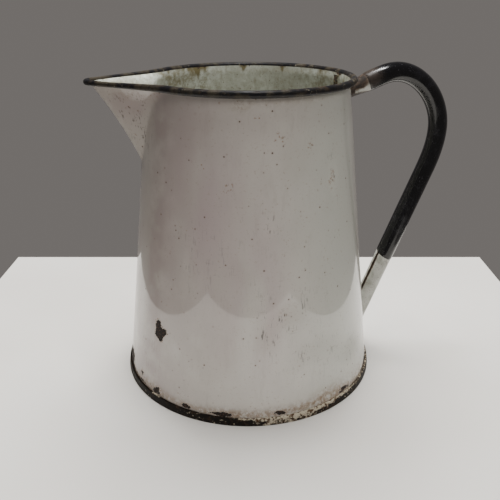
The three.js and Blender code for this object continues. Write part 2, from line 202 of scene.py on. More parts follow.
def end_caps(rows, cols):
    """Quads over both ends of a tube whose second half of columns runs back beside the first half."""
    k = np.arange(cols // 2 - 1)
    strip = np.stack([k, k + 1, cols - 2 - k, cols - 1 - k], -1)
    return np.concatenate([strip[:, ::-1], strip + (rows - 1) * cols])


def surface(name, points, closed=True, poles=(), caps=None, inner_rows=None):
    """A mesh object from a grid of points, rows by columns by XYZ. Its columns run round; closed joins the
    last row to the first, poles close the first and last row with one point each, and caps are extra quads.
    Quads that start on inner_rows take the second material. Faces are turned to point outwards."""
    rows, cols = points.shape[:2]
    quads, quad_rows = grid_quads(rows, cols, closed)
    slots = np.zeros(len(quads), np.int32)
    if inner_rows is not None:
        slots[inner_rows[quad_rows]] = 1
    if caps is not None:
        quads = np.concatenate([quads, caps])
    vertices = points.reshape(-1, 3)
    loops, counts = [quads.reshape(-1)], [np.full(len(quads), 4)]
    for row, pole in zip((0, rows - 1), poles):
        ring = row * cols + np.arange(cols)
        around = [ring, np.roll(ring, -1)] if row else [np.roll(ring, -1), ring]
        loops.append(np.stack([*around, np.full(cols, len(vertices))], -1).reshape(-1))
        counts.append(np.full(cols, 3))
        vertices = np.concatenate([vertices, [pole]])
    loops, counts = np.concatenate(loops), np.concatenate(counts)
    slots = np.pad(slots, (0, len(counts) - len(slots)))
    starts = np.concatenate([[0], np.cumsum(counts)[:-1]])
    fans = np.stack([vertices[loops[starts + k]] for k in range(3)], 1)
    if np.einsum("ij,ij->", fans[:, 0], np.cross(fans[:, 1], fans[:, 2])) < 0:
        loops = loops[np.repeat(2 * starts + counts - 1, counts) - np.arange(len(loops))]
    mesh = bpy.data.meshes.new(name)
    mesh.vertices.add(len(vertices))
    mesh.vertices.foreach_set("co", vertices.astype(np.float32).reshape(-1))
    mesh.loops.add(len(loops))
    mesh.loops.foreach_set("vertex_index", loops.astype(np.int32))
    mesh.polygons.add(len(counts))
    mesh.polygons.foreach_set("loop_start", starts.astype(np.int32))
    mesh.polygons.foreach_set("material_index", slots)
    mesh.polygons.foreach_set("use_smooth", np.ones(len(counts), bool))
    mesh.update(calc_edges=True)
    mesh.set_sharp_from_angle(angle=SHARP_EDGE)
    old = bpy.data.objects.get(name)
    if old:
        bpy.data.objects.remove(old)
    piece = bpy.data.objects.new(name, mesh)
    bpy.context.scene.collection.objects.link(piece)
    return piece


def belongs(piece, materials, nodes=()):
    """Makes an object a piece of the jug: it rides on the one body and stands for CAD nodes."""
    for material in materials:
        piece.data.materials.append(material)
    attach(piece, "root")
    if nodes:
        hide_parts(*nodes)


def point_heights(piece):
    """Height of every point of a piece."""
    places = np.zeros(len(piece.data.vertices) * 3, np.float32)
    piece.data.vertices.foreach_get("co", places)
    return places[2::3]


def smooth_step(x):
    """0 below 0, 1 above 1, and three squares less two cubes between."""
    x = np.clip(x, 0, 1)
    return x * x * (3 - 2 * x)


def ring_angles(count):
    """Even angles once round."""
    return np.linspace(0, TAU, count, endpoint=False)


def off_angle(angle, degrees):
    """Angle off a place round the jug, from -pi to pi."""
    return (angle - math.radians(degrees) + math.pi) % TAU - math.pi


def ripple(turns, seed, waves, size):
    """A closed, seeded unevenness of a ring: a sum of cosines of 2 to waves turns, with falling height."""
    rng = np.random.default_rng(seed)
    total = 0
    for k in range(2, waves + 1):
        total = total + np.cos(k * turns + rng.uniform(0, TAU)) * rng.uniform(0.4, 1) / math.sqrt(k)
    return size * total / math.sqrt(waves)


# ---------------------------------------------------------------- shape of wall and spout


ROOT_ANGLE = math.radians(18)    # half angle of the spout's root near the rim
LEAST_ROOT = math.radians(0.5)   # and at the keel's foot
FLARE_ANGLE = math.radians(22)   # what the root opens more at the rim itself
FLARE_POWER = 5                  # how late that opening comes
FLANK_HOLLOW = 1.1               # how much more hollow than straight the flanks are at the rim
EVEN_SHARE = 0.45                # share of the points round the mouth that are evenly spaced
CROWDED_SHARE = 0.55             # the other share crowds towards the spout
CROWDING = 2.2
INSIDE_CROWDING = 0.92           # power that draws the inside's rows towards the rim


def rim_height():
    """Height of the middle of the rim's roll."""
    return sizes().height - sizes().bead_radius


def wall_radius(z):
    """Outside of the plain wall: a straight taper from the foot to the rim."""
    s = sizes()
    foot = s.foot_radius - s.base_sheet - s.seat_gap
    top = s.mouth_radius - 2 * s.bead_radius
    return foot + (top - foot) * z / (s.height - s.bead_radius)


def spout_share(z):
    """How far up the spout a height is: 0 at the keel's foot, 1 at the rim."""
    s = sizes()
    return np.clip((z - s.spout_foot) / (rim_height() - s.spout_foot), 0, 1)


def root_angle(part):
    """Half angle of the spout's root: it opens as a square root from the keel's foot and flares at the
    rim."""
    return np.maximum(ROOT_ANGLE * np.sqrt(part) + FLARE_ANGLE * part ** FLARE_POWER, LEAST_ROOT)


def keel_reach(part):
    """Axis to keel: a straight line from the wall to the tip plus a parabolic bow."""
    s = sizes()
    foot = wall_radius(s.spout_foot)
    tip = s.spout_reach - 2 * s.tip_bead_radius
    return foot + (tip - foot) * part + 4 * s.keel_bow * part * (1 - part)


def vessel_radius(angle, z):
    """Outside of wall and spout at an angle off the spout's middle. On the spout the radius is the wall's
    plus the keel's lead times (1 - across) to a power that rises from 1 at the keel's foot to 2.1 at the
    rim, where across is the angle over the root's half angle, softened to a hyperbola at the keel."""
    part = spout_share(z)
    root = root_angle(part)
    rounding = sizes().keel_rounding / keel_reach(part) / root
    reach = np.minimum(np.abs(angle) / root, 1)
    across = (np.hypot(reach, rounding) - rounding) / (np.hypot(1, rounding) - rounding)
    lead = np.where(part > 0, keel_reach(part) - wall_radius(z), 0)
    return wall_radius(z) + np.maximum(lead, 0) * (1 - across) ** (1 + FLANK_HOLLOW * part ** 2)


def vessel_points(angle, z, inset=0.0):
    """Points of that outside, moved inwards square to the outline in plan."""
    step = 1e-3

    def plan(a):
        """The outline's X and Y, counted from the jug's axis."""
        r = vessel_radius(a, z)
        return -r * np.cos(a), -r * np.sin(a)

    x, y = plan(angle)
    x_after, y_after = plan(angle + step)
    x_before, y_before = plan(angle - step)
    way = np.hypot(x_after - x_before, y_after - y_before)
    along_x, along_y = (x_after - x_before) / way, (y_after - y_before) / way
    return np.stack([sizes().axis_x + x - along_y * inset, y + along_x * inset, z + 0 * angle], -1)


def mouth_angles(count):
    """Angles off the spout's middle, from -pi to pi, closer together on the spout: an even share plus a
    power."""
    a = np.linspace(-1, 1, count, endpoint=False)
    return math.pi * (EVEN_SHARE * a + CROWDED_SHARE * np.sign(a) * np.abs(a) ** CROWDING)


def vessel_heights():
    """Heights of the wall's rows: up the outside, and down the inside with closer rows at the rim."""
    low, top = sizes().base_sheet + sizes().seat_gap, rim_height()
    outside = low + (top - low) * np.linspace(0, 1, OUTSIDE_ROWS)
    inside = low + (top - low) * np.linspace(1, 0, INSIDE_ROWS) ** INSIDE_CROWDING
    return outside, inside


def hand_work(angle, z):
    """Low, seeded unevenness of hand-raised sheet, nothing at the foot and the rim."""
    quiet = 18 * MM
    held = smooth_step(z / quiet) * smooth_step((rim_height() - z) / quiet)
    up = z / rim_height() * math.pi
    broad = ripple(angle + 0.4 * np.sin(up), seed=11, waves=7, size=0.16 * MM)
    fine = ripple(angle, seed=12, waves=9, size=0.09 * MM)
    return held * (broad * np.sin(up) + fine * np.sin(2.3 * up))


def build_vessel():
    """Wall and spout as one closed sheet: up the outside, over the edge under the rim's roll, and down the
    inside. The sheet thins at its top edge, where it turns over into the roll."""
    outside, inside = vessel_heights()
    edge, taper = 0.12, 4 * MM
    thinned = edge + 0.88 * smooth_step((rim_height() - inside) / taper)
    heights = np.concatenate([outside, inside])
    insets = np.concatenate([0 * outside, sizes().wall_sheet * thinned])
    a, z = np.meshgrid(mouth_angles(WALL_COLUMNS), heights)
    points = vessel_points(a, z, insets[:, None] + 0 * a)
    outward = np.stack([-np.cos(a), -np.sin(a), 0 * a], -1)
    points = points + outward * hand_work(a, z)[..., None]
    return surface("jug_wall_and_spout", points, inner_rows=np.arange(len(heights)) >= len(outside))


# ---------------------------------------------------------------- rolled rim


def bead_radius(angle):
    """Radius of the roll: thin at the spout's tip and full from the spout's root onwards."""
    s = sizes()
    part = np.minimum(np.abs(angle) / root_angle(np.float64(1)), 1)
    return s.tip_bead_radius + (s.bead_radius - s.tip_bead_radius) * smooth_step(part)


def build_rim():
    """The roll: an open ring section carried round the mouth and the spout's edges, a little uneven, with
    the open slit down towards the wall. Its centre stands one bead radius outside the sheet."""
    angle = mouth_angles(RIM_COLUMNS)
    top = np.full_like(angle, rim_height())
    sheet = vessel_points(angle, top)
    outward = vessel_points(angle, top, -1.0) - sheet
    centre = sheet + outward * bead_radius(angle)[:, None]
    centre[:, 2] += ripple(angle, seed=22, waves=30, size=0.12 * MM)
    bead = bead_radius(angle) * (1 + ripple(angle, seed=21, waves=46, size=0.035))
    tip_drop, drop_half = 0.35 * MM, math.radians(4)
    bead = bead + tip_drop * np.exp(-(angle / drop_half) ** 2)
    slit, slit_half, thickness = math.radians(235), 0.2, 0.7 * MM
    outer = slit + slit_half + (TAU - 2 * slit_half) * np.linspace(0, 1, ROLL_ROWS)
    turn = np.concatenate([outer, outer[::-1]])
    depth = np.concatenate([np.zeros(ROLL_ROWS), np.full(ROLL_ROWS, thickness)])
    radius = bead[None, :] - depth[:, None]
    out, up = radius * np.cos(turn)[:, None], radius * np.sin(turn)[:, None]
    points = centre[None] + out[..., None] * outward[None] + up[..., None] * np.array([0, 0, 1.0])
    return surface("rim_rolled_edge", points)


# ---------------------------------------------------------------- foot and bottom


def rounded(corners, radius, steps):
    """A polyline of (r, z) corners with each corner between its ends replaced by a short quadratic curve."""
    corners = np.asarray(corners, float)
    result = [corners[0]]
    for before, here, after in zip(corners, corners[1:], corners[2:]):
        ways = before - here, after - here
        start, end = (here + way * min(radius / np.linalg.norm(way), 0.45) for way in ways)
        t = np.linspace(0, 1, steps + 1)[:, None]
        result.extend((1 - t) ** 2 * start + 2 * t * (1 - t) * here + t ** 2 * end)
    result.append(corners[-1])
    return np.array(result)


def turned(profile, angle, wobble):
    """A profile of (radius, height) turned about the jug's axis; wobble adds (radius, height) for every
    point."""
    r, z = (profile[:, k][:, None] + wobble[k] + 0 * angle for k in (0, 1))
    return np.stack([sizes().axis_x + r * np.cos(angle), r * np.sin(angle), z], -1)


def build_foot():
    """The fold: a channel round the foot of the wall, from the skirt inside, under the wall's edge and up
    outside. It has been hammered by hand, so its upper edge and its outside waver."""
    s = sizes()
    angle = ring_angles(FOOT_COLUMNS)
    inner = wall_radius(0) - s.wall_sheet - s.seat_gap - s.base_sheet
    outer = wall_radius(0) + s.seat_gap + s.base_sheet
    lean = wall_radius(0) - wall_radius(s.fold_height)
    mid = (inner + outer) / 2
    skirt, upright, pressed = 3.4 * MM, 2.4 * MM, 0.1 * MM
    profile = rounded([
        (mid, s.base_sheet),
        (inner + s.base_sheet, s.base_sheet),
        (inner + s.base_sheet, skirt),
        (inner, skirt),
        (inner, 0),
        (outer, 0),
        (outer - 0.3 * lean, upright),
        (outer - lean, s.fold_height),
        (wall_radius(s.fold_height) - pressed, s.fold_height),
        (wall_radius(s.base_sheet), s.base_sheet),
        (mid, s.base_sheet),
    ], 0.55 * MM, 5)[:-1]
    climb = np.clip(profile[:, 1] / s.fold_height, 0, 1)[:, None] * (profile[:, 0] > mid)[:, None]
    outward = climb * ripple(angle, seed=31, waves=40, size=0.16 * MM)
    upward = climb ** 2 * ripple(angle, seed=32, waves=34, size=0.3 * MM)
    return surface("foot_fold", turned(profile, angle, (outward, upward)))


def build_bottom():
    """The raised bottom: a sheet that falls a little from the middle, turns down at the wall and ends in
    the fold."""
    s = sizes()
    angle = ring_angles(BOTTOM_COLUMNS)
    edge = wall_radius(s.base_rise) - s.wall_sheet - s.seat_gap
    top, skirt = s.base_rise + s.base_sheet, 1.6 * MM
    out = np.linspace(0.02, 0.93, 22)
    upper = np.stack([out * edge, top + s.base_dome * (1 - out ** 2)], -1)
    down = [0, s.base_sheet]
    corner = rounded([
        upper[-1],
        (edge, top),
        (edge, skirt),
        (edge - s.base_sheet, skirt),
        (edge - s.base_sheet, s.base_rise),
        upper[-1] - down,
    ], 1.6 * MM, 6)
    profile = np.concatenate([upper, corner[1:-1], upper[::-1] - down])
    swell = ripple(angle, seed=41, waves=6, size=0.12 * MM)
    swell = swell * np.sin(math.pi * np.clip(profile[:, 0] / edge, 0, 1))[:, None]
    centre = np.array([s.axis_x, 0, top + s.base_dome])
    poles = (centre, centre - [0, *down])
    return surface("raised_bottom", turned(profile, angle, (0, swell)), closed=False, poles=poles)


def build_seam():
    """The folded seam inside the wall: a half-round double ridge with a groove between, from bottom to
    rim."""
    s = sizes()
    azimuth, half, crest = math.radians(12), 2.3 * MM, 1.15 * MM
    groove_floor, groove_half, fade = 0.62, 0.14, 6 * MM
    across = np.linspace(-1, 1, SEAM_COLUMNS)
    groove = groove_floor + (1 - groove_floor) * (1 - np.exp(-(across / groove_half) ** 2))
    ridge = (1 - np.abs(across) ** 6) * groove * crest
    low, high = s.base_rise + s.base_sheet, rim_height() - 1.5 * MM
    z = np.linspace(low, high, SEAM_ROWS)
    faded = smooth_step((high + 0.5 * MM - z) / fade)[:, None]
    face = (wall_radius(z) - s.wall_sheet)[:, None] - ridge * faded
    back = (wall_radius(z) - 0.5 * s.wall_sheet)[:, None] + 0 * ridge
    side = np.broadcast_to(half * across, face.shape)
    radial = np.concatenate([face, back[:, ::-1]], 1)
    sideways = np.concatenate([side, side[:, ::-1]], 1)
    x = radial * math.cos(azimuth) - sideways * math.sin(azimuth)
    y = radial * math.sin(azimuth) + sideways * math.cos(azimuth)
    points = np.stack([s.axis_x + x, y, np.broadcast_to(z[:, None], radial.shape)], -1)
    return surface("side_lock_seam", points, closed=False, caps=end_caps(*radial.shape))


# ---------------------------------------------------------------- handle


LINE_RISE = math.radians(25)         # slope of the straight root
RUN_ON = 20 * MM                     # how far the line runs on inside the wall at the root
FOOT_RUN_ON = 40 * MM                # and at the foot
LINE_TUBE = 5.75 * MM                # tube radius that the root's height allows for
ROOT_CLEARANCE = 2.6 * MM            # the tube at the root stays this far under the roll
FOOT_HEIGHT = 27 * MM                # where the leg meets the wall
CREST_OUT = 30.8 * MM                # crest of the arch outside the mouth
CREST_UP = 1.4 * MM                  # and above the roll's middle
OUTERMOST_DOWN = 37.2 * MM           # outermost point of the arch below the roll's middle
LINE_DEPTH = 6.45 * MM               # line to the outside of the grip
STRAIGHT_HEIGHT = 131 * MM           # where the bend runs out into the straight leg
STRAIGHT_IN = 0.25                   # how far in that is, as a share of crest to outermost
ROOT_HOLD = 0.7                      # pulls of the curves' ends, as shares of what each curve spans
CREST_HOLD_IN = 0.2
CREST_HOLD_OUT = 0.51
OUTERMOST_HOLD_ABOVE = 0.52
OUTERMOST_HOLD_BELOW = 0.38
STRAIGHT_HOLD = 0.32
ROOT_PINCH = 1.3 * MM                # how much thinner the tube is where it is spread at the root
ROOT_SPREAD = 17 * MM                # length of that stretch
SET_IN = 0.5 * MM                    # depth of the tube's ends in the wall
GRIP_START = 15 * MM                 # bare tube at the root
GRIP_END = 49 * MM                   # and at the foot


def bezier(points, steps):
    """A cubic curve through its four control points, without its last point."""
    p = np.array(points, float)
    t = np.linspace(0, 1, steps, endpoint=False)[:, None]
    return (1 - t) ** 3 * p[0] + 3 * t * (1 - t) ** 2 * p[1] + 3 * t ** 2 * (1 - t) * p[2] + t ** 3 * p[3]


class HandlePath:
    """Centreline of the handle in the plane through the jug's axis, as (out, up) from the axis: a straight
    root that rises under the rim, an arch over the crest, a bend round the outermost point and a straight
    leg to the wall."""

    def __init__(self):
        s = sizes()
        root_z = rim_height() - s.bead_radius - ROOT_CLEARANCE - LINE_TUBE / math.cos(LINE_RISE)
        root = np.array([wall_radius(root_z), root_z])
        foot = np.array([wall_radius(FOOT_HEIGHT), FOOT_HEIGHT])
        crest = np.array([s.mouth_radius + CREST_OUT, rim_height() + CREST_UP])
        outermost = np.array([s.handle_reach - LINE_DEPTH, rim_height() - OUTERMOST_DOWN])
        bow, fall = outermost[0] - crest[0], crest[1] - outermost[1]
        straight = np.array([outermost[0] - STRAIGHT_IN * bow, STRAIGHT_HEIGHT])
        bend = outermost[1] - straight[1]
        out_way = np.array([math.cos(LINE_RISE), math.sin(LINE_RISE)])
        down_way = (foot - straight) / np.linalg.norm(foot - straight)
        reach = crest[0] - root[0]
        after_root = root + ROOT_HOLD * reach * out_way
        before_crest = crest - [CREST_HOLD_IN * reach, 0]
        after_crest = crest + [CREST_HOLD_OUT * bow, 0]
        above = outermost + [0, OUTERMOST_HOLD_ABOVE * fall]
        below = outermost - [0, OUTERMOST_HOLD_BELOW * bend]
        before_straight = straight - STRAIGHT_HOLD * bend * down_way
        self.line = np.concatenate([
            [root - out_way * RUN_ON],
            bezier([root, after_root, before_crest, crest], 60),
            bezier([crest, after_crest, above, outermost], 80),
            bezier([outermost, below, before_straight, straight], 60),
            [straight, foot + down_way * FOOT_RUN_ON],
        ])
        steps = np.linalg.norm(np.diff(self.line, axis=0), axis=1)
        self.run = np.concatenate([[0], np.cumsum(steps)])
        self.root_run, self.foot_run = RUN_ON, self.run[-1] - FOOT_RUN_ON

    def point(self, run):
        """Place at lengths along the line."""
        return np.stack([np.interp(run, self.run, self.line[:, k]) for k in (0, 1)], -1)

    def around(self, run, turn, radius):
        """Points at a radius round the line; turn 0 faces away from the jug and rises towards +Y."""
        fine = 0.5 * MM
        way = self.point(run + fine) - self.point(run - fine)
        way = way / np.linalg.norm(way, axis=-1, keepdims=True)
        out, side = radius * np.cos(turn), radius * np.sin(turn)
        x = sizes().axis_x + self.point(run)[..., 0] - way[..., 1] * out
        z = self.point(run)[..., 1] + way[..., 0] * out
        return np.stack([x, side, z], -1)

    def meets_wall(self, turn, radius, at_root, depth):
        """Length along the line at which each line of the tube's side comes to a depth in the wall."""
        runs = np.linspace(0 if at_root else self.run[-1], self.run[-1] / 2, 900)
        grid = self.around(runs[:, None] + 0 * turn[None], turn[None] + 0 * runs[:, None], radius)
        from_axis = np.hypot(grid[..., 0] - sizes().axis_x, grid[..., 1])
        clear = from_axis > wall_radius(grid[..., 2]) - depth
        return runs[np.argmax(clear, axis=0)]


def seam_turn():
    """Where the tube's open seam lies: on the jug's side, turned a little towards -Y."""
    return math.pi + math.radians(18)


def tube_side(path, radius):
    """One face of the open tube. Every line along it starts and ends in the wall, so both ends are cut to
    the wall's curve. Its slit widens and its radius shrinks where the tube is spread at the root."""
    part = np.linspace(0, 1, TUBE_COLUMNS)
    shut, spread_open = 0.45, 2.6
    half = shut * MM / radius
    turn = seam_turn() + half + (TAU - 2 * half) * part
    start = path.meets_wall(turn, radius - ROOT_PINCH, True, SET_IN)
    end = path.meets_wall(turn, radius, False, SET_IN)
    run = start[None] + (end - start)[None] * np.linspace(0, 1, TUBE_ROWS)[:, None]
    spread = np.clip(1 - (run - path.root_run) / ROOT_SPREAD, 0, 1)
    gap = (shut + spread_open * smooth_step(spread)) * MM / radius
    turn = seam_turn() + gap + (TAU - 2 * gap) * part[None]
    return path.around(run, turn, radius - ROOT_PINCH * smooth_step(spread * 1.2))


def build_tube(path):
    """The tube: its outside, and its inside one sheet further in, joined along the open seam and at both
    ends."""
    outer = tube_side(path, sizes().tube_radius)
    inner = tube_side(path, sizes().tube_radius - 1.0 * MM)
    points = np.concatenate([outer, inner[:, ::-1]], 1)
    return surface("handle_rolled_tube", points, closed=False, caps=end_caps(*points.shape[:2]))


def grip_run(path):
    """Where the black coat starts and ends along the line."""
    return path.root_run + GRIP_START, path.foot_run - GRIP_END


def build_grip(path):
    """The black coat: a sleeve with rounded ends that run out a little unevenly, as dipped enamel does."""
    s = sizes()
    turn = ring_angles(GRIP_COLUMNS)
    start, end = grip_run(path)
    part = np.linspace(0, 1, GRIP_ROWS)
    edge = np.minimum(part, 1 - part) * (end - start)
    end_rounding, first_skin, sunk = 1.6 * MM, 0.02 * MM, 0.15 * MM
    rise = np.sqrt(np.clip(1 - (1 - np.clip(edge / end_rounding, 0, 1)) ** 2, 0, 1))
    outer_radius = s.tube_radius + first_skin + (s.grip_radius - s.tube_radius) * rise
    starts = start + ripple(turn, seed=51, waves=4, size=0.35 * MM)
    slant = 0.9 * MM * np.cos(turn) - 1.5 * MM * np.sin(turn)
    ends = end + slant + ripple(turn, seed=52, waves=4, size=0.3 * MM)
    run = starts[None] + (ends - starts)[None] * part[:, None]
    turns = turn[None] + 0 * run
    wave = ripple(run / (24 * MM) + np.sin(turn)[None], seed=53, waves=8, size=0.05 * MM)
    wave = wave * (edge > 3 * MM)[:, None]
    outer = path.around(run, turns, outer_radius[:, None] + wave)
    inner = path.around(run[::-1], turns, s.tube_radius - sunk + 0 * run)
    return surface("handle_black_coat", np.concatenate([outer, inner]))


def build_fillet(path, at_root, name):
    """A fillet of enamel round one end of the handle: a thin round bead on the line where the tube meets
    the wall, open at the root, where the tube's seam is spread, and closed at the foot."""
    opening = 0.6 if at_root else 0.0
    turn = seam_turn() + opening + (TAU - 2 * opening) * np.linspace(0, 1, 96, endpoint=at_root)
    radius = sizes().tube_radius + (-1.2 if at_root else 0.1) * MM
    run = path.meets_wall(turn, radius, at_root, 0.25 * MM)
    run = np.convolve(np.pad(run, 3, mode="edge" if at_root else "wrap"), np.ones(7) / 7, mode="valid")
    line = path.around(run, turn, radius)
    ahead = np.roll(line, -1, 0) - np.roll(line, 1, 0)
    if at_root:
        ahead[0], ahead[-1] = line[1] - line[0], line[-1] - line[-2]
    ahead /= np.linalg.norm(ahead, axis=1, keepdims=True)
    away = (line - [sizes().axis_x, 0, 0]) * [1, 1, 0]
    away /= np.linalg.norm(away, axis=1, keepdims=True)
    cross = np.cross(ahead, away)
    cross /= np.linalg.norm(cross, axis=1, keepdims=True)
    away = np.cross(cross, ahead)
    section = ring_angles(12)[None, :, None]
    thick = (0.62 * MM * (1 + ripple(turn, seed=61, waves=9, size=0.12)))[:, None, None]
    points = line[:, None] + thick * (np.cos(section) * away[:, None] + np.sin(section) * cross[:, None])
    return surface(name, points, closed=not at_root, poles=(line[0], line[-1]) if at_root else ())


# ---------------------------------------------------------------- marks, placed one by one


WALL_SPOT_RADIUS = 75 * MM       # radius at which the half widths of marks on the wall are meant
MOUTH_SPOT_RADIUS = 66 * MM      # the same inside, near the rim
SEAM_DEGREES = -171              # middle of the rust beside the inner seam, off the spout
BARE_LIP_DEGREES = 35            # a short bare stretch of the foot's lip, off the spout

# Degrees off the spout's middle, height, half width and half height in millimetres, strength.
OUTSIDE_CHIPS = [
    # the ragged upper edge of the foot
    (20, 6, 34, 1.5, 0.62), (62, 6, 26, 1.3, 0.56), (100, 6, 30, 1.2, 0.5), (150, 6, 30, 1.8, 0.62),
    (260, 6, 90, 1.4, 0.6),
    # the large flaked patch low on the wall
    (34, 56, 3.6, 3.6, 1.0), (38, 52, 4.0, 2.6, 1.0), (36, 47, 2.6, 3.6, 1.0), (33, 49, 2.4, 3.2, 0.9),
    # flakes above the foot
    (35, 9, 4.0, 2.6, 0.9), (69, 7, 5.0, 2.0, 0.85), (52, 7.5, 3.0, 1.6, 0.7), (22, 12, 3.0, 4.5, 0.7),
    (6, 12, 7.0, 7, 1.0), (-6, 12, 8.0, 6, 1.0), (165, 11, 7.0, 6, 1.0), (154, 8, 6.0, 3, 0.8),
    (93, 8, 4.5, 1.8, 0.7), (127, 8, 6.0, 2.2, 0.75),
    # the keel and the spout's root
    (1, 148, 3.2, 4.2, 0.95), (0, 139, 2.0, 3.5, 0.6), (14, 185, 2.0, 1.8, 0.45), (6, 170, 1.6, 2.2, 0.5),
    # clusters of pin holes and small knocks on the near side
    (74, 197.5, 4.0, 1.3, 0.66), (126, 152, 3.5, 8, 0.37), (89, 128, 3, 5, 0.4), (95, 74, 5, 4, 0.4),
    (62, 109, 4, 3, 0.4), (41, 116, 3, 3, 0.38), (58, 160, 5, 9, 0.38), (50, 13, 6, 3, 0.45),
    (82, 12, 4, 2.5, 0.42), (66, 197.5, 3.5, 1.2, 0.55), (110, 197.5, 5.0, 1.2, 0.5),
    (145, 120, 1.4, 1.4, 0.45), (100, 92, 1.2, 1.2, 0.4), (95, 178, 9, 6, 0.43), (112, 172, 8, 5, 0.42),
    (84, 190, 9, 3, 0.45), (128, 184, 7, 4, 0.42), (70, 150, 8, 8, 0.38), (118, 150, 10, 9, 0.37),
    # the far side
    (208, 60, 3.0, 3.0, 0.8), (250, 110, 2.4, 2.4, 0.7), (300, 14, 5.0, 3.5, 0.85), (236, 9, 6.0, 2.5, 0.8),
    (330, 88, 2.2, 2.6, 0.7), (282, 176, 2.0, 2.0, 0.6),
    # under the roll beside the spout
    (26, 198, 5, 1.3, 0.6), (48, 198, 4, 1.1, 0.5),
]
OUTSIDE_STAIN = [
    (40, 7, 60, 3.2, 0.55), (120, 7, 60, 3.6, 0.65), (260, 7, 110, 3.2, 0.6), (76, 196, 6, 4, 0.5),
    (100, 198, 30, 3.0, 0.3), (118, 10, 13, 6.5, 0.75), (35, 50, 8, 9, 0.25), (1, 145, 6, 9, 0.7),
    (8, 16, 5, 18, 0.5), (30, 9, 16, 4, 0.55), (70, 7, 14, 4, 0.4), (142, 12, 14, 9, 0.35),
    (95, 9, 26, 3.2, 0.35), (175, 189, 14, 10, 0.9), (180, 28, 9, 12, 0.45), (240, 12, 18, 8, 0.6),
    (300, 16, 14, 10, 0.6), (208, 55, 5, 12, 0.35), (14, 196, 12, 3, 0.4),
]
OUTSIDE_RUB = [
    (126, 152, 6, 12, 1.0), (89, 128, 6, 8, 0.8), (98, 72, 12, 8, 0.7), (87, 58, 10, 12, 0.7),
    (112, 44, 20, 12, 0.75), (134, 31, 14, 10, 0.8), (60, 110, 30, 26, 0.28), (11, 180, 15, 26, 0.85),
    (100, 85, 26, 20, 0.3), (24, 30, 16, 20, 0.4), (230, 70, 30, 40, 0.5), (300, 120, 30, 40, 0.5),
]
# Grease, with painted light: the tall narrow bands at 29 and 153 degrees are painted reflections of the dark
# room, the tall bands at 6 and 38 degrees are painted shade down the left side, and the patch at 22 degrees,
# low down, only darkens the wall there.
OUTSIDE_FILM_AND_SHADE = [
    (62, 184, 40, 16, 0.35), (112, 190, 26, 10, 0.2), (29, 110, 8, 150, 0.8), (38, 120, 26, 150, 0.55),
    (153, 120, 6, 120, 0.5), (6, 70, 14, 90, 0.8), (22, 14, 30, 24, 0.7), (66, 56, 22, 34, 0.3),
    (250, 150, 60, 50, 0.7), (10, 190, 20, 12, 0.8),
]
OUTSIDE_LILAC = [(52, 140, 34, 62, 1), (84, 80, 16, 50, 0.7), (250, 130, 40, 50, 0.8)]

# Degrees off the spout's middle, length in millimetres, strength.
INSIDE_DRIPS = [
    (-66, 12, 0.6), (-71, 8, 0.45), (-97, 11, 0.5), (-123, 11, 0.55), (-152, 9, 0.4),
    (60, 18, 0.5), (120, 26, 0.5),
]


def put_field(piece, name, values):
    """Stores one number for each grid point as a vertex attribute; poles get nothing."""
    field = np.zeros(len(piece.data.vertices), np.float32)
    flat = np.asarray(values, np.float32).reshape(-1)
    field[:len(flat)] = flat
    piece.data.attributes.new(name, "FLOAT", "POINT").data.foreach_set("value", field)


def bell(distance, half):
    """A Gaussian: 1 at distance 0 and 0.37 at the half size."""
    return np.exp(-(distance / half) ** 2)


def spots(angle, z, marks):
    """Sum of soft spots on the wall, each a bell across times a bell along, cut off at 0 and 1."""
    total = np.zeros(np.broadcast(angle, z).shape)
    for degrees, up, wide, tall, strength in marks:
        across = bell(off_angle(angle, degrees) * WALL_SPOT_RADIUS, wide * MM)
        total += strength * across * bell(z - up * MM, tall * MM)
    return np.clip(total, 0, 1)


def drips(angle, below):
    """Rust runs down from the rim: each narrows on its way and fades with its length."""
    total = np.zeros_like(angle)
    for degrees, long, strength in INSIDE_DRIPS:
        down = np.clip(below / (long * MM), 0, None)
        wide = (2.2 - 1.2 * np.clip(down, 0, 1)) * MM
        total += strength * bell(off_angle(angle, degrees) * MOUTH_SPOT_RADIUS, wide) * np.exp(-down ** 1.6)
    return total


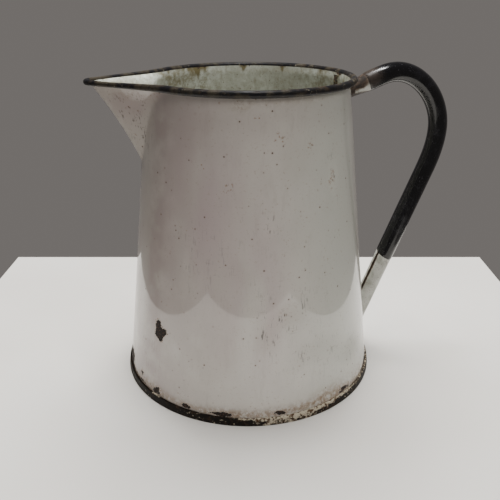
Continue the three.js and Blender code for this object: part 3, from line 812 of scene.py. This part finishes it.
def mark_vessel(piece):
    """Works out where the wall is chipped, stained, rubbed and greasy, and where upright bands of painted
    reflection and painted shade darken it. Inside, rust runs and a ragged line of rust hang from the rim, a
    tide mark lies round the bottom, and the scale marks are thickest beside the spout; towards the handle
    they are painted shade."""
    outside, inside = vessel_heights()
    a, z = np.meshgrid(mouth_angles(WALL_COLUMNS), np.concatenate([outside, inside]))
    is_inside = (np.arange(len(z)) >= OUTSIDE_ROWS)[:, None]
    below = rim_height() - z
    runs = drips(a, below)
    fringe_length = (2.2 + 5.5 * np.abs(ripple(a, seed=72, waves=46, size=1.0))) * MM
    fringe = np.clip(0.3 + 0.75 * ripple(a, seed=71, waves=90, size=1.0), 0, 1)
    fringe = fringe * np.exp(-np.clip(below / fringe_length, 0, None) ** 1.5)
    tide = 0.8 * bell(z - sizes().base_rise, 9 * MM)
    beside_seam = bell(off_angle(a, SEAM_DEGREES) * MOUTH_SPOT_RADIUS, 5 * MM)
    blotch = 0.45 * bell(a + 1.09, 0.1) * bell(below, 13 * MM)
    inside_stain = runs + fringe + tide + blotch + 0.35 * beside_seam
    inside_chips = 0.42 * bell(below, 1.5 * MM) + 0.45 * runs + 0.38 * beside_seam
    # Towards the handle the inside gets more of the olive scale colour as painted shade.
    shade_by_handle = smooth_step((np.abs(a) - 2.3) / 0.4)
    inside_film_and_shade = 0.25 + 0.3 * (z / rim_height()) ** 3 + 0.85 * bell(a + 0.9, 0.32) + 0.5 * shade_by_handle
    for name, within, marks in (("stain_and_shade", inside_stain, OUTSIDE_STAIN), ("chip", inside_chips, OUTSIDE_CHIPS),
                                ("rub", 0.25 + 0 * a, OUTSIDE_RUB), ("film_and_shade", inside_film_and_shade, OUTSIDE_FILM_AND_SHADE)):
        put_field(piece, name, np.where(is_inside, np.clip(within, 0, 1), spots(a, z, marks)))
    put_field(piece, "cool", smooth_step((np.abs(a) - math.radians(88)) / math.radians(40)))
    put_field(piece, "lilac", spots(a, z, OUTSIDE_LILAC))


def mark_foot(piece):
    """The foot's dark coat is whole towards the spout and worn to its cream ground coat towards the handle,
    most of all along its lip."""
    angle = ring_angles(FOOT_COLUMNS)
    off_spout = np.abs(off_angle(angle, 180))
    worn = smooth_step((off_spout - math.radians(62)) / math.radians(26))
    worn = worn * (0.43 + 0.1 * np.cos(5 * angle + 1)) * (1 - 0.5 * smooth_step((off_spout - 2.1) / 0.5))
    up = point_heights(piece).reshape(-1, FOOT_COLUMNS) / sizes().fold_height
    lip = np.clip((up - 0.6) / 0.4, 0, 1)
    bare = 0.42 * bell(off_spout - math.radians(BARE_LIP_DEGREES), 0.1)
    lip_wear = 0.16 + 0.12 * smooth_step((off_spout - 0.9) / 0.3) + bare
    put_field(piece, "worn", np.clip(worn + lip * lip_wear, 0, 1))


def mark_seam(piece):
    """The seam is chipped and filmed all along, and rustier towards the rim."""
    up = point_heights(piece) / rim_height()
    put_field(piece, "stain_and_shade", 0.45 + 0.3 * up ** 6)
    put_field(piece, "chip", 0.6 + 0 * up)
    put_field(piece, "film_and_shade", 0.6 + 0 * up)


def mark_grip(piece, path):
    """Next to the root the black coat is rubbed thin along its top."""
    turn = ring_angles(GRIP_COLUMNS)[None]
    start, end = grip_run(path)
    past = np.linspace(0, 1, GRIP_ROWS)[:, None] * (end - start)
    thin = smooth_step(1 - past / (17 * MM)) * smooth_step(0.55 + 0.6 * np.cos(turn + 0.5))
    put_field(piece, "worn", np.concatenate([thin, 0 * thin]))


def mark_tube(piece, path):
    """The tube is dark inside and along the lips of its seam, as painted shade that keeps the slit dark. It
    is rusty from the wall to the black coat at its root, but for a pale strip on its lower side, and a little
    rusty at its foot and where the black coat starts."""
    along = np.linspace(path.root_run, path.foot_run, TUBE_ROWS)
    root = smooth_step((path.root_run + 20 * MM - along) / (10 * MM))
    foot = 0.35 * smooth_step((along - path.foot_run + 9 * MM) / (9 * MM))
    under = 0.25 * bell(along - path.foot_run + GRIP_END, 3 * MM)
    part = np.linspace(0, 1, TUBE_COLUMNS)
    part = np.concatenate([part, part[::-1]])[None]
    girth = TAU * 6 * MM
    # Painted shade along both lips of the open seam.
    edge = 0.8 * bell(np.minimum(part, 1 - part) * girth, 1.1 * MM)
    off_wall = smooth_step((along - path.root_run - 4 * MM) / (3 * MM))
    pale = 0.78 * (off_wall * root)[:, None] * bell(part - 0.11, 0.08)
    # The whole inside of the tube is painted shade, so that the open slit reads dark.
    is_inside = (np.arange(2 * TUBE_COLUMNS) >= TUBE_COLUMNS)[None]
    put_field(piece, "stain_and_shade", np.where(is_inside, 1, (root + foot + under)[:, None] - pale + edge))


# ---------------------------------------------------------------- finishes


ENAMEL_GLASS_IOR = 1.7   # refraction of the enamel's glass, which sets how strongly it mirrors


class Finish:
    """A finish built in layers over a ground colour. Every layer has a mask and gives the eye another colour,
    another gloss or another level of the surface where the mask is 1."""

    def __init__(self, name, ground, roughness, gloss=0.0, gloss_roughness=0.1, shine=0.5):
        self.material = bpy.data.materials.new(name)
        self.material.use_nodes = True
        self.tree = self.material.node_tree
        self.tree.nodes.clear()
        self.place = self.add("TexCoord").outputs["Object"]
        self.colour, self.roughness, self.height = (*ground, 1), roughness, None
        self.gloss, self.gloss_roughness, self.shine = gloss, gloss_roughness, shine

    def add(self, kind, inputs=None, **settings):
        """Adds a node. Settings are its properties; inputs maps an input to a value or to an output to
        link."""
        item = self.tree.nodes.new("ShaderNode" + kind)
        for key, value in settings.items():
            setattr(item, key, value)
        for key, value in (inputs or {}).items():
            if isinstance(value, bpy.types.NodeSocket):
                self.tree.links.new(value, item.inputs[key])
            else:
                item.inputs[key].default_value = value
        return item

    def sum(self, operation, first, second):
        """Arithmetic on two values."""
        return self.add("Math", {0: first, 1: second}, operation=operation).outputs[0]

    def both(self, first, second):
        """One mask where another is also set."""
        return self.sum("MULTIPLY", first, second)

    def field(self, name):
        """A number worked out for the piece's points."""
        return self.add("Attribute", attribute_name=name).outputs["Fac"]

    def grain(self, size, detail=3.0, rough=0.55, stretch=(1, 1, 1), shift=0.0):
        """Cloudy noise with features of a size in metres, stretched along X, Y, Z."""
        scale = tuple(1 / (size * way) for way in stretch)
        moved = (shift, 2 * shift, -shift)
        at = self.add("Mapping", {"Vector": self.place, "Scale": scale, "Location": moved})
        settings = {"Vector": at.outputs[0], "Scale": 1.0, "Detail": detail, "Roughness": rough}
        return self.add("TexNoise", settings).outputs[0]

    def between(self, value, low, high):
        """Smooth step of a value from 0 at low to 1 at high."""
        limits = {0: value, 1: low, 2: high, 3: 0.0, 4: 1.0}
        return self.add("MapRange", limits, interpolation_type="SMOOTHSTEP").outputs[0]

    def broken(self, name, share, size, detail, rough, shift, stretch=(1, 1, 1)):
        """A point field less a share of grain, so that its soft spots get ragged edges; 0 is the edge."""
        grain = self.both(self.grain(size, detail, rough, stretch, shift), share)
        return self.sum("SUBTRACT", self.field(name), grain)

    def blend(self, mask, first, second):
        """First where the mask is 0 and second where it is 1, for colours."""
        return self.add("Mix", {0: mask, 6: first, 7: second}, data_type="RGBA").outputs[2]

    def level(self, mask, first, second):
        """First where the mask is 0 and second where it is 1, for plain values."""
        return self.add("MapRange", {0: mask, 1: 0.0, 2: 1.0, 3: first, 4: second}).outputs[0]

    def uneven(self, amount, millimetres):
        """Raises the surface by an amount times a height in millimetres."""
        raised = self.sum("MULTIPLY", amount, millimetres)
        self.height = raised if self.height is None else self.sum("ADD", self.height, raised)

    def layer(self, mask, tone=None, roughness=None, lift=0.0, gloss=None):
        """Lays one layer over the ones before. Lift is in millimetres."""
        if tone is not None:
            tone = tone if isinstance(tone, bpy.types.NodeSocket) else (*tone, 1)
            self.colour = self.blend(mask, self.colour, tone)
        if roughness is not None:
            self.roughness = self.level(mask, self.roughness, roughness)
        if gloss is not None:
            self.gloss = self.level(mask, self.gloss, gloss)
        if lift:
            self.uneven(mask, lift)

    def done(self):
        """Closes the layers with a shader."""
        inputs = {"Base Color": self.colour, "Roughness": self.roughness, "Coat Weight": self.gloss,
                  "Coat Roughness": self.gloss_roughness, "Coat IOR": ENAMEL_GLASS_IOR,
                  "Specular IOR Level": self.shine}
        if self.height is not None:
            bump = self.add("Bump", {"Height": self.height, "Strength": 1.0, "Distance": MM})
            inputs["Normal"] = bump.outputs[0]
        shader = self.add("BsdfPrincipled", inputs)
        self.add("OutputMaterial", {"Surface": shader.outputs[0]})
        return self.material


def rust_tone(f, size=1.6 * MM, iron=0.42):
    """Rust that wanders between its dry brown and nearly black iron; a higher iron share leaves less
    brown."""
    c = colours()
    return f.blend(f.between(f.grain(size, 4), iron, iron + 0.18), (*c.iron, 1), (*c.rust, 1))


def enamel_outside():
    """Old white enamel: glossy under a dull haze and a little wavy, so reflections run down it softly.
    Grease dulls it, upright bands of painted reflection and painted shade darken its sides, rust creeps out
    of pin holes, and the glass has flaked off down to dark iron where it was knocked."""
    c = colours()
    f = Finish("white_enamel_worn_gloss", c.white, roughness=0.42, gloss=1.0, gloss_roughness=0.045)
    # Clouds, faint runs and the cooler and warmer sides of the coat.
    f.layer(f.between(f.grain(38 * MM, 3), 0.35, 0.75), linear("#B9B4AC"), roughness=0.42)
    f.layer(f.between(f.grain(7 * MM, 4, rough=0.7, stretch=(1, 1, 5), shift=3.1), 0.5, 0.8),
            linear("#B2ABA3"), roughness=0.36)
    f.layer(f.both(f.field("cool"), 0.8), linear("#B8BAB1"))
    lilac = f.between(f.grain(24 * MM, 2, rough=0.5, stretch=(1, 1, 4), shift=6.1), 0.3, 0.65)
    f.layer(f.both(f.field("lilac"), lilac), linear("#B5A6A6"))
    # Grease, and upright bands of painted reflection and painted shade down the sides.
    film_and_shade = f.between(f.grain(15 * MM, 3, rough=0.5, shift=1.7), 0.15, 0.6)
    f.layer(f.both(f.field("film_and_shade"), film_and_shade), c.grime_and_shade, roughness=0.47, gloss=0.8)
    f.layer(f.between(f.grain(1.4 * MM, 2, shift=5.2), 0.6, 0.8), linear("#A99C8F"), roughness=0.4)
    # Rubbed places with upright and level scratches.
    rub = f.field("rub")
    f.layer(f.between(rub, 0.15, 0.8), roughness=0.52, gloss=0.3)
    upright = f.between(f.grain(0.85 * MM, 2, rough=0.5, stretch=(1, 1, 14), shift=7.7), 0.59, 0.65)
    patch = f.between(f.grain(8 * MM, 3, shift=2.4), 0.46, 0.58)
    f.layer(f.both(f.both(upright, patch), rub), linear("#403A35"), roughness=0.55, lift=-0.03, gloss=0.3)
    level = f.between(f.grain(0.5 * MM, 1, rough=0.5, stretch=(14, 14, 1.2), shift=9.3), 0.66, 0.72)
    f.layer(f.both(f.both(level, patch), rub), linear("#8A7F75"), roughness=0.5, lift=-0.02)
    # Rust stains.
    stain_and_shade = f.between(f.grain(3.2 * MM, 5, rough=0.75, shift=4.1), 0.3, 0.62)
    f.layer(f.both(f.field("stain_and_shade"), stain_and_shade), linear("#7A6145"), roughness=0.6)
    # Pin holes, each with a faint brown ring.
    pits = f.add("TexVoronoi", {"Vector": f.place, "Scale": 210.0, "Randomness": 1.0}, feature="F1")
    few = f.between(f.grain(9 * MM, 3, shift=6.6), 0.48, 0.6)
    pit = f.both(f.between(pits.outputs["Distance"], 0.13, 0.07), few)
    f.layer(pit, linear("#33291F"), roughness=0.7, lift=-0.08, gloss=0.1)
    ring = f.both(f.between(pits.outputs["Distance"], 0.3, 0.08), few)
    f.layer(f.both(ring, 0.2), linear("#8F6F58"))
    # Chips: a brown halo, a pale broken edge of glass and dark iron inside.
    edge = f.broken("chip", share=1.15, size=2.1 * MM, detail=4, rough=0.65, shift=8.2)
    f.layer(f.between(edge, -0.16, -0.02), linear("#8B6A50"), roughness=0.6)
    f.layer(f.between(edge, -0.045, -0.015), linear("#DAD5CA"), roughness=0.35)
    f.layer(f.between(edge, -0.012, 0.012), rust_tone(f, 1.1 * MM, iron=0.5), roughness=0.8, lift=-0.28,
            gloss=0.0)
    # Slow waves of the sheet and the fine peel of the glass.
    f.uneven(f.grain(31 * MM, 1), 0.5)
    f.uneven(f.grain(3.4 * MM, 1, shift=3.3), 0.012)
    return f.done()


def enamel_inside():
    """Inside coat: a greenish grey white with olive water marks, darkened towards the handle as painted
    shade, rust runs below the rim and fine specks.
    """
    c = colours()
    f = Finish("grey_white_enamel_stained", c.inside, roughness=0.34, gloss=0.4, gloss_roughness=0.12)
    f.layer(f.between(f.grain(22 * MM, 4), 0.35, 0.72), linear("#AEB1A6"), roughness=0.42)
    f.layer(f.between(f.grain(5 * MM, 5, rough=0.7, stretch=(1, 1, 4), shift=2.2), 0.48, 0.72),
            linear("#A4A498"), roughness=0.28)
    # Olive scale marks; towards the handle they are painted shade.
    film_and_shade = f.between(f.grain(4 * MM, 5, rough=0.7, shift=1.1), 0.35, 0.68)
    f.layer(f.both(f.field("film_and_shade"), film_and_shade), c.limescale_and_shade, roughness=0.38)
    f.layer(f.between(f.grain(1.0 * MM, 2, shift=5.9), 0.62, 0.74), linear("#6E6650"), roughness=0.5)
    stain_and_shade = f.broken("stain_and_shade", share=0.75, size=3.0 * MM, detail=5, rough=0.7, shift=4.4, stretch=(1, 1, 3))
    f.layer(f.between(stain_and_shade, -0.08, 0.3), linear("#6F6646"), roughness=0.6)
    edge = f.broken("chip", share=1.1, size=1.9 * MM, detail=4, rough=0.65, shift=8.8)
    f.layer(f.between(edge, -0.012, 0.02), rust_tone(f), roughness=0.75, lift=-0.25)
    f.uneven(f.grain(13 * MM, 1), 0.3)
    return f.done()


def enamel_rim():
    """Blue-black enamel on the rolled edge, rubbed through to brown olive metal in patches, glossy where it
    is left, with small flecks of the white coat along it."""
    c = colours()
    f = Finish("blue_black_enamel_rubbed", c.rim, roughness=0.38, gloss=0.03, gloss_roughness=0.2, shine=0.3)
    f.layer(f.between(f.grain(9 * MM, 4), 0.47, 0.6), c.worn_rim, roughness=0.48)
    f.layer(f.between(f.grain(2.6 * MM, 4, shift=2.1), 0.54, 0.64), linear("#2B251F"), roughness=0.6,
            lift=-0.06)
    f.layer(f.between(f.grain(5.5 * MM, 3, rough=0.7, shift=4.7), 0.6, 0.68), linear("#332B22"),
            roughness=0.7, lift=-0.05)
    fleck = f.between(f.grain(1.3 * MM, 4, rough=0.7, shift=6.2), 0.6, 0.68)
    stretch_of_rim = f.between(f.grain(12 * MM, 2, shift=7.5), 0.48, 0.6)
    f.layer(f.both(fleck, stretch_of_rim), linear("#8F8876"), roughness=0.45, lift=0.05)
    f.uneven(f.grain(3.5 * MM, 2, shift=9.4), 0.2)
    return f.done()


def enamel_foot():
    """Black coat of the folded foot: dull and oxidised, and worn to a cream ground coat with rust in its
    pores."""
    c = colours()
    f = Finish("black_foot_enamel_worn", linear("#15110E"), roughness=0.55, gloss=0.0, gloss_roughness=0.2,
               shine=0.15)
    f.layer(f.between(f.grain(3.2 * MM, 4, rough=0.65), 0.52, 0.62), linear("#31261D"), roughness=0.7,
            lift=-0.05)
    worn = f.broken("worn", share=1.0, size=3.2 * MM, detail=5, rough=0.72, shift=2.7, stretch=(1, 1, 0.6))
    f.layer(f.between(worn, -0.02, 0.06), c.cream, roughness=0.5, lift=-0.08)
    pores = f.between(f.grain(2.2 * MM, 4, shift=5.5), 0.48, 0.6)
    f.layer(f.both(pores, f.between(worn, -0.06, 0.0)), linear("#4E3A2A"), roughness=0.75, lift=-0.05)
    chip = f.between(f.grain(2.0 * MM, 3, shift=8.4), 0.63, 0.66)
    few = f.between(f.grain(15 * MM, 2, shift=1.9), 0.5, 0.6)
    f.layer(f.both(chip, few), linear("#A89E8C"), roughness=0.5, lift=-0.05)
    f.uneven(f.grain(2.8 * MM, 3, shift=3.8), 0.18)
    return f.done()


def enamel_bottom():
    """Bottom sheet: the inside's coat, with ring-shaped water marks and rust where water stood."""
    c = colours()
    f = Finish("grey_white_enamel_bottom", c.inside, roughness=0.4, gloss=0.3, gloss_roughness=0.15)
    f.layer(f.between(f.grain(18 * MM, 4), 0.4, 0.7), c.limescale_and_shade, roughness=0.5)
    middle = f.add("Mapping", {"Vector": f.place, "Location": (-sizes().axis_x, 0, 0)})
    waves = {"Vector": middle.outputs[0], "Scale": 34.0, "Distortion": 5.0, "Detail": 3.0}
    rings = f.add("TexWave", waves, wave_type="RINGS", rings_direction="Z")
    f.layer(f.both(f.between(rings.outputs["Fac"], 0.7, 0.95), 0.14), linear("#6E6246"), roughness=0.55)
    f.layer(f.between(f.grain(4 * MM, 4, shift=3.7), 0.6, 0.68), rust_tone(f), roughness=0.75, lift=-0.2)
    return f.done()


def enamel_tube():
    """White enamel on the bare ends of the handle: grey with handling, brown with rust next to the wall,
    and dark brown inside and along the seam as painted shade."""
    f = Finish("white_handle_enamel_rust_and_shade", linear("#BFC0B8"), roughness=0.38, gloss=0.3,
               gloss_roughness=0.15)
    f.layer(f.between(f.grain(9 * MM, 4), 0.4, 0.7), linear("#94958A"), roughness=0.45)
    f.layer(f.between(f.grain(1.1 * MM, 2, shift=4.6), 0.6, 0.75), linear("#75695E"), roughness=0.5)
    stain_and_shade = f.broken("stain_and_shade", share=0.8, size=2.6 * MM, detail=4, rough=0.7, shift=2.9)
    f.layer(f.between(stain_and_shade, -0.2, 0.15), linear("#655749"), roughness=0.6)
    wander = f.between(f.grain(2.4 * MM, 3, shift=7.1), 0.4, 0.65)
    # Dark brown of the rust at the ends, and of the painted shade inside the tube and along its seam.
    brown = f.blend(wander, (*linear("#2A241F"), 1), (*linear("#483B31"), 1))
    f.layer(f.between(stain_and_shade, 0.06, 0.3), brown, roughness=0.7, lift=-0.08)
    f.uneven(f.grain(2.2 * MM, 2, shift=6.9), 0.12)
    return f.done()


def enamel_grip():
    """Black enamel on the grip: deep and glossy with a slight orange peel, and fine pale rubs."""
    f = Finish("black_enamel_gloss", colours().black, roughness=0.15, gloss=0.1, gloss_roughness=0.06)
    f.layer(f.between(f.grain(8 * MM, 4), 0.5, 0.72), linear("#16161A"), roughness=0.28)
    rub = f.between(f.grain(0.7 * MM, 2, shift=3.6), 0.66, 0.72)
    few = f.between(f.grain(10 * MM, 2, shift=5.3), 0.5, 0.62)
    f.layer(f.both(rub, few), linear("#5A5A60"), roughness=0.45, lift=-0.03)
    thin = f.broken("worn", share=0.5, size=1.8 * MM, detail=3, rough=0.55, shift=8.6)
    f.layer(f.between(thin, -0.1, 0.55), linear("#352E29"), roughness=0.4)
    f.uneven(f.grain(5 * MM, 2, shift=1.3), 0.03)
    return f.done()


def rusted_wire():
    """Rusted steel wire inside the roll: matt brown with dark pores."""
    f = Finish("steel_wire_rusted", colours().rust, roughness=0.7)
    f.layer(f.between(f.grain(1.2 * MM, 4), 0.45, 0.6), colours().iron, roughness=0.8, lift=-0.05)
    return f.done()


def table_finish():
    """Pale matt table with a barely uneven tone."""
    f = Finish("pale_table_matt", bpy.context.scene.jug_stage.table, roughness=0.75)
    f.layer(f.between(f.grain(180 * MM, 2), 0.3, 0.75), linear("#D3D0CA"), roughness=0.7)
    return f.done()


# ---------------------------------------------------------------- stage


def onto_stage(name, data):
    """An object that belongs to the stage and not to the jug."""
    item = bpy.data.objects.new(name, data)
    bpy.context.scene.collection.objects.link(item)
    return item


def lamp(name, place, aim, size, watts, tone, mirrored):
    """A soft rectangular lamp that hangs at a place and points at another. Only a mirrored one shows in
    gloss."""
    data = bpy.data.lights.new(name, "AREA")
    data.shape = "RECTANGLE"
    data.size, data.size_y = size
    data.energy = watts
    data.color = linear(tone)
    item = onto_stage(name, data)
    item.location = place
    item.rotation_euler = (Vector(aim) - Vector(place)).to_track_quat("-Z", "Y").to_euler()
    item.visible_glossy = mirrored


def build_table(axis_x, heading):
    """The table: a slab whose front edge lies square to the camera's heading and is mirrored in the wall."""
    half, front, back, thickness = 0.2345, -0.33, 0.178, 0.03
    outline = ((-half, front), (half, front), (half, back), (-half, back))
    corners = np.array([(x, y, z) for z in (-thickness, 0) for x, y in outline])
    corners = corners @ np.array(Matrix.Rotation(-heading, 3, "Z")).T + [axis_x, 0, 0]
    sides = [(k, (k + 1) % 4, (k + 1) % 4 + 4, k + 4) for k in range(4)]
    mesh = bpy.data.meshes.new("table_top")
    mesh.from_pydata(corners.tolist(), [], [(3, 2, 1, 0), (4, 5, 6, 7), *sides])
    mesh.materials.append(table_finish())
    onto_stage("table_top", mesh)


def build_camera(axis_x, stage):
    """The camera, a little towards the spout from the jug's near side, looking down at it."""
    data = bpy.data.cameras.new("camera")
    data.sensor_width = 36
    data.lens = stage.focal_length
    data.dof.use_dof = False
    camera = onto_stage("camera", data)
    aside, away = math.sin(stage.camera_turn), math.cos(stage.camera_turn)
    camera.location = (axis_x - aside * stage.camera_out, -away * stage.camera_out, stage.camera_height)
    camera.rotation_euler = (math.pi / 2 - stage.camera_pitch, 0, -stage.camera_heading)
    bpy.context.scene.camera = camera


# ---------------------------------------------------------------- operators


class JUG_OT_vessel(bpy.types.Operator):
    """Wall and pouring spout in one enamelled sheet"""

    bl_idname = "jug.vessel"
    bl_label = "Wall and spout"

    def execute(self, context):
        piece = build_vessel()
        mark_vessel(piece)
        belongs(piece, [enamel_outside(), enamel_inside()], ["body_wall", "spout"])
        return {"FINISHED"}


class JUG_OT_rim(bpy.types.Operator):
    """Rolled edge round the mouth, and the finish of the wire inside it"""

    bl_idname = "jug.rim"
    bl_label = "Rolled rim"

    def execute(self, context):
        belongs(build_rim(), [enamel_rim()], ["rim_roll"])
        wire = bpy.data.objects["rim_wire"]
        wire.data.materials.clear()
        wire.data.materials.append(rusted_wire())
        return {"FINISHED"}


class JUG_OT_base(bpy.types.Operator):
    """Raised bottom and the fold that holds it to the wall"""

    bl_idname = "jug.base"
    bl_label = "Foot and bottom"

    def execute(self, context):
        fold = build_foot()
        mark_foot(fold)
        belongs(fold, [enamel_foot()], ["base_pan"])
        belongs(build_bottom(), [enamel_bottom()])
        return {"FINISHED"}


class JUG_OT_seam(bpy.types.Operator):
    """Folded seam down the inside of the wall"""

    bl_idname = "jug.seam"
    bl_label = "Side seam"

    def execute(self, context):
        piece = build_seam()
        mark_seam(piece)
        belongs(piece, [enamel_inside()], ["side_seam"])
        return {"FINISHED"}


class JUG_OT_handle(bpy.types.Operator):
    """Handle: rolled tube, its black coat and the enamel fillets at its two ends"""

    bl_idname = "jug.handle"
    bl_label = "Handle"

    def execute(self, context):
        path = HandlePath()
        tube_finish = enamel_tube()
        tube = build_tube(path)
        mark_tube(tube, path)
        belongs(tube, [tube_finish], ["handle_tube"])
        grip = build_grip(path)
        mark_grip(grip, path)
        belongs(grip, [enamel_grip()], ["handle_grip"])
        for at_root, name, rusty in ((True, "handle_root_fillet", 0.9), (False, "handle_foot_fillet", 0.35)):
            fillet = build_fillet(path, at_root, name)
            put_field(fillet, "stain_and_shade", np.full(len(fillet.data.vertices), rusty))
            belongs(fillet, [tube_finish])
        return {"FINISHED"}


class JUG_OT_stage(bpy.types.Operator):
    """Table, room light, lamps and camera"""

    bl_idname = "jug.stage"
    bl_label = "Stage"

    def execute(self, context):
        stage = context.scene.jug_stage
        axis_x = sizes().axis_x
        build_table(axis_x, stage.camera_heading)
        world = bpy.data.worlds.new("grey_room")
        world.use_nodes = True
        background = world.node_tree.nodes["Background"]
        background.inputs["Color"].default_value = (*stage.room, 1)
        background.inputs["Strength"].default_value = 1.0
        context.scene.world = world
        lamp("ceiling_panel", place=(0.02, 0.42, 1.2), aim=(axis_x, 0.05, 0), size=(0.9, 0.7), watts=35,
             tone="#FFFDFA", mirrored=False)
        lamp("long_lamp", place=(0.02, -0.02, 1.25), aim=(0.08, 0, 0.15), size=(0.45, 0.08), watts=7,
             tone="#FFFFFF", mirrored=True)
        lamp("room_front", place=(0.4, -1.1, 1.15), aim=(axis_x, 0, 0.1), size=(0.8, 0.6), watts=8,
             tone="#FFFCFA", mirrored=False)
        build_camera(axis_x, stage)
        return {"FINISHED"}


class JUG_PT_sidebar(bpy.types.Panel):
    """Lists the jug's pieces, sizes and colours"""

    bl_idname = "JUG_PT_sidebar"
    bl_label = "Enamelled Jug"
    bl_space_type = "VIEW_3D"
    bl_region_type = "UI"
    bl_category = "Jug"

    def draw(self, context):
        for operator in OPERATORS:
            self.layout.operator(operator.bl_idname)
        for group in (context.scene.jug_sizes, context.scene.jug_colours, context.scene.jug_stage):
            column = self.layout.box().column()
            for name in type(group).__annotations__:
                column.prop(group, name)


OPERATORS = (JUG_OT_vessel, JUG_OT_rim, JUG_OT_base, JUG_OT_seam, JUG_OT_handle, JUG_OT_stage)
GROUPS = {"jug_sizes": JugSizes, "jug_colours": JugColours, "jug_stage": JugStage}


def register():
    """Registers the property groups, hangs them on the scene, and registers operators and panel."""
    for group in GROUPS.values():
        bpy.utils.register_class(group)
    for name, group in GROUPS.items():
        setattr(bpy.types.Scene, name, PointerProperty(type=group))
    for item in (*OPERATORS, JUG_PT_sidebar):
        bpy.utils.register_class(item)


def unregister():
    """Takes back what register did."""
    for item in (*OPERATORS, JUG_PT_sidebar):
        bpy.utils.unregister_class(item)
    for name, group in GROUPS.items():
        delattr(bpy.types.Scene, name)
        bpy.utils.unregister_class(group)


def main():
    """Builds every piece and the stage."""
    register()
    bpy.ops.jug.vessel()
    bpy.ops.jug.rim()
    bpy.ops.jug.base()
    bpy.ops.jug.seam()
    bpy.ops.jug.handle()
    bpy.ops.jug.stage()


if __name__ == "__main__":
    main()
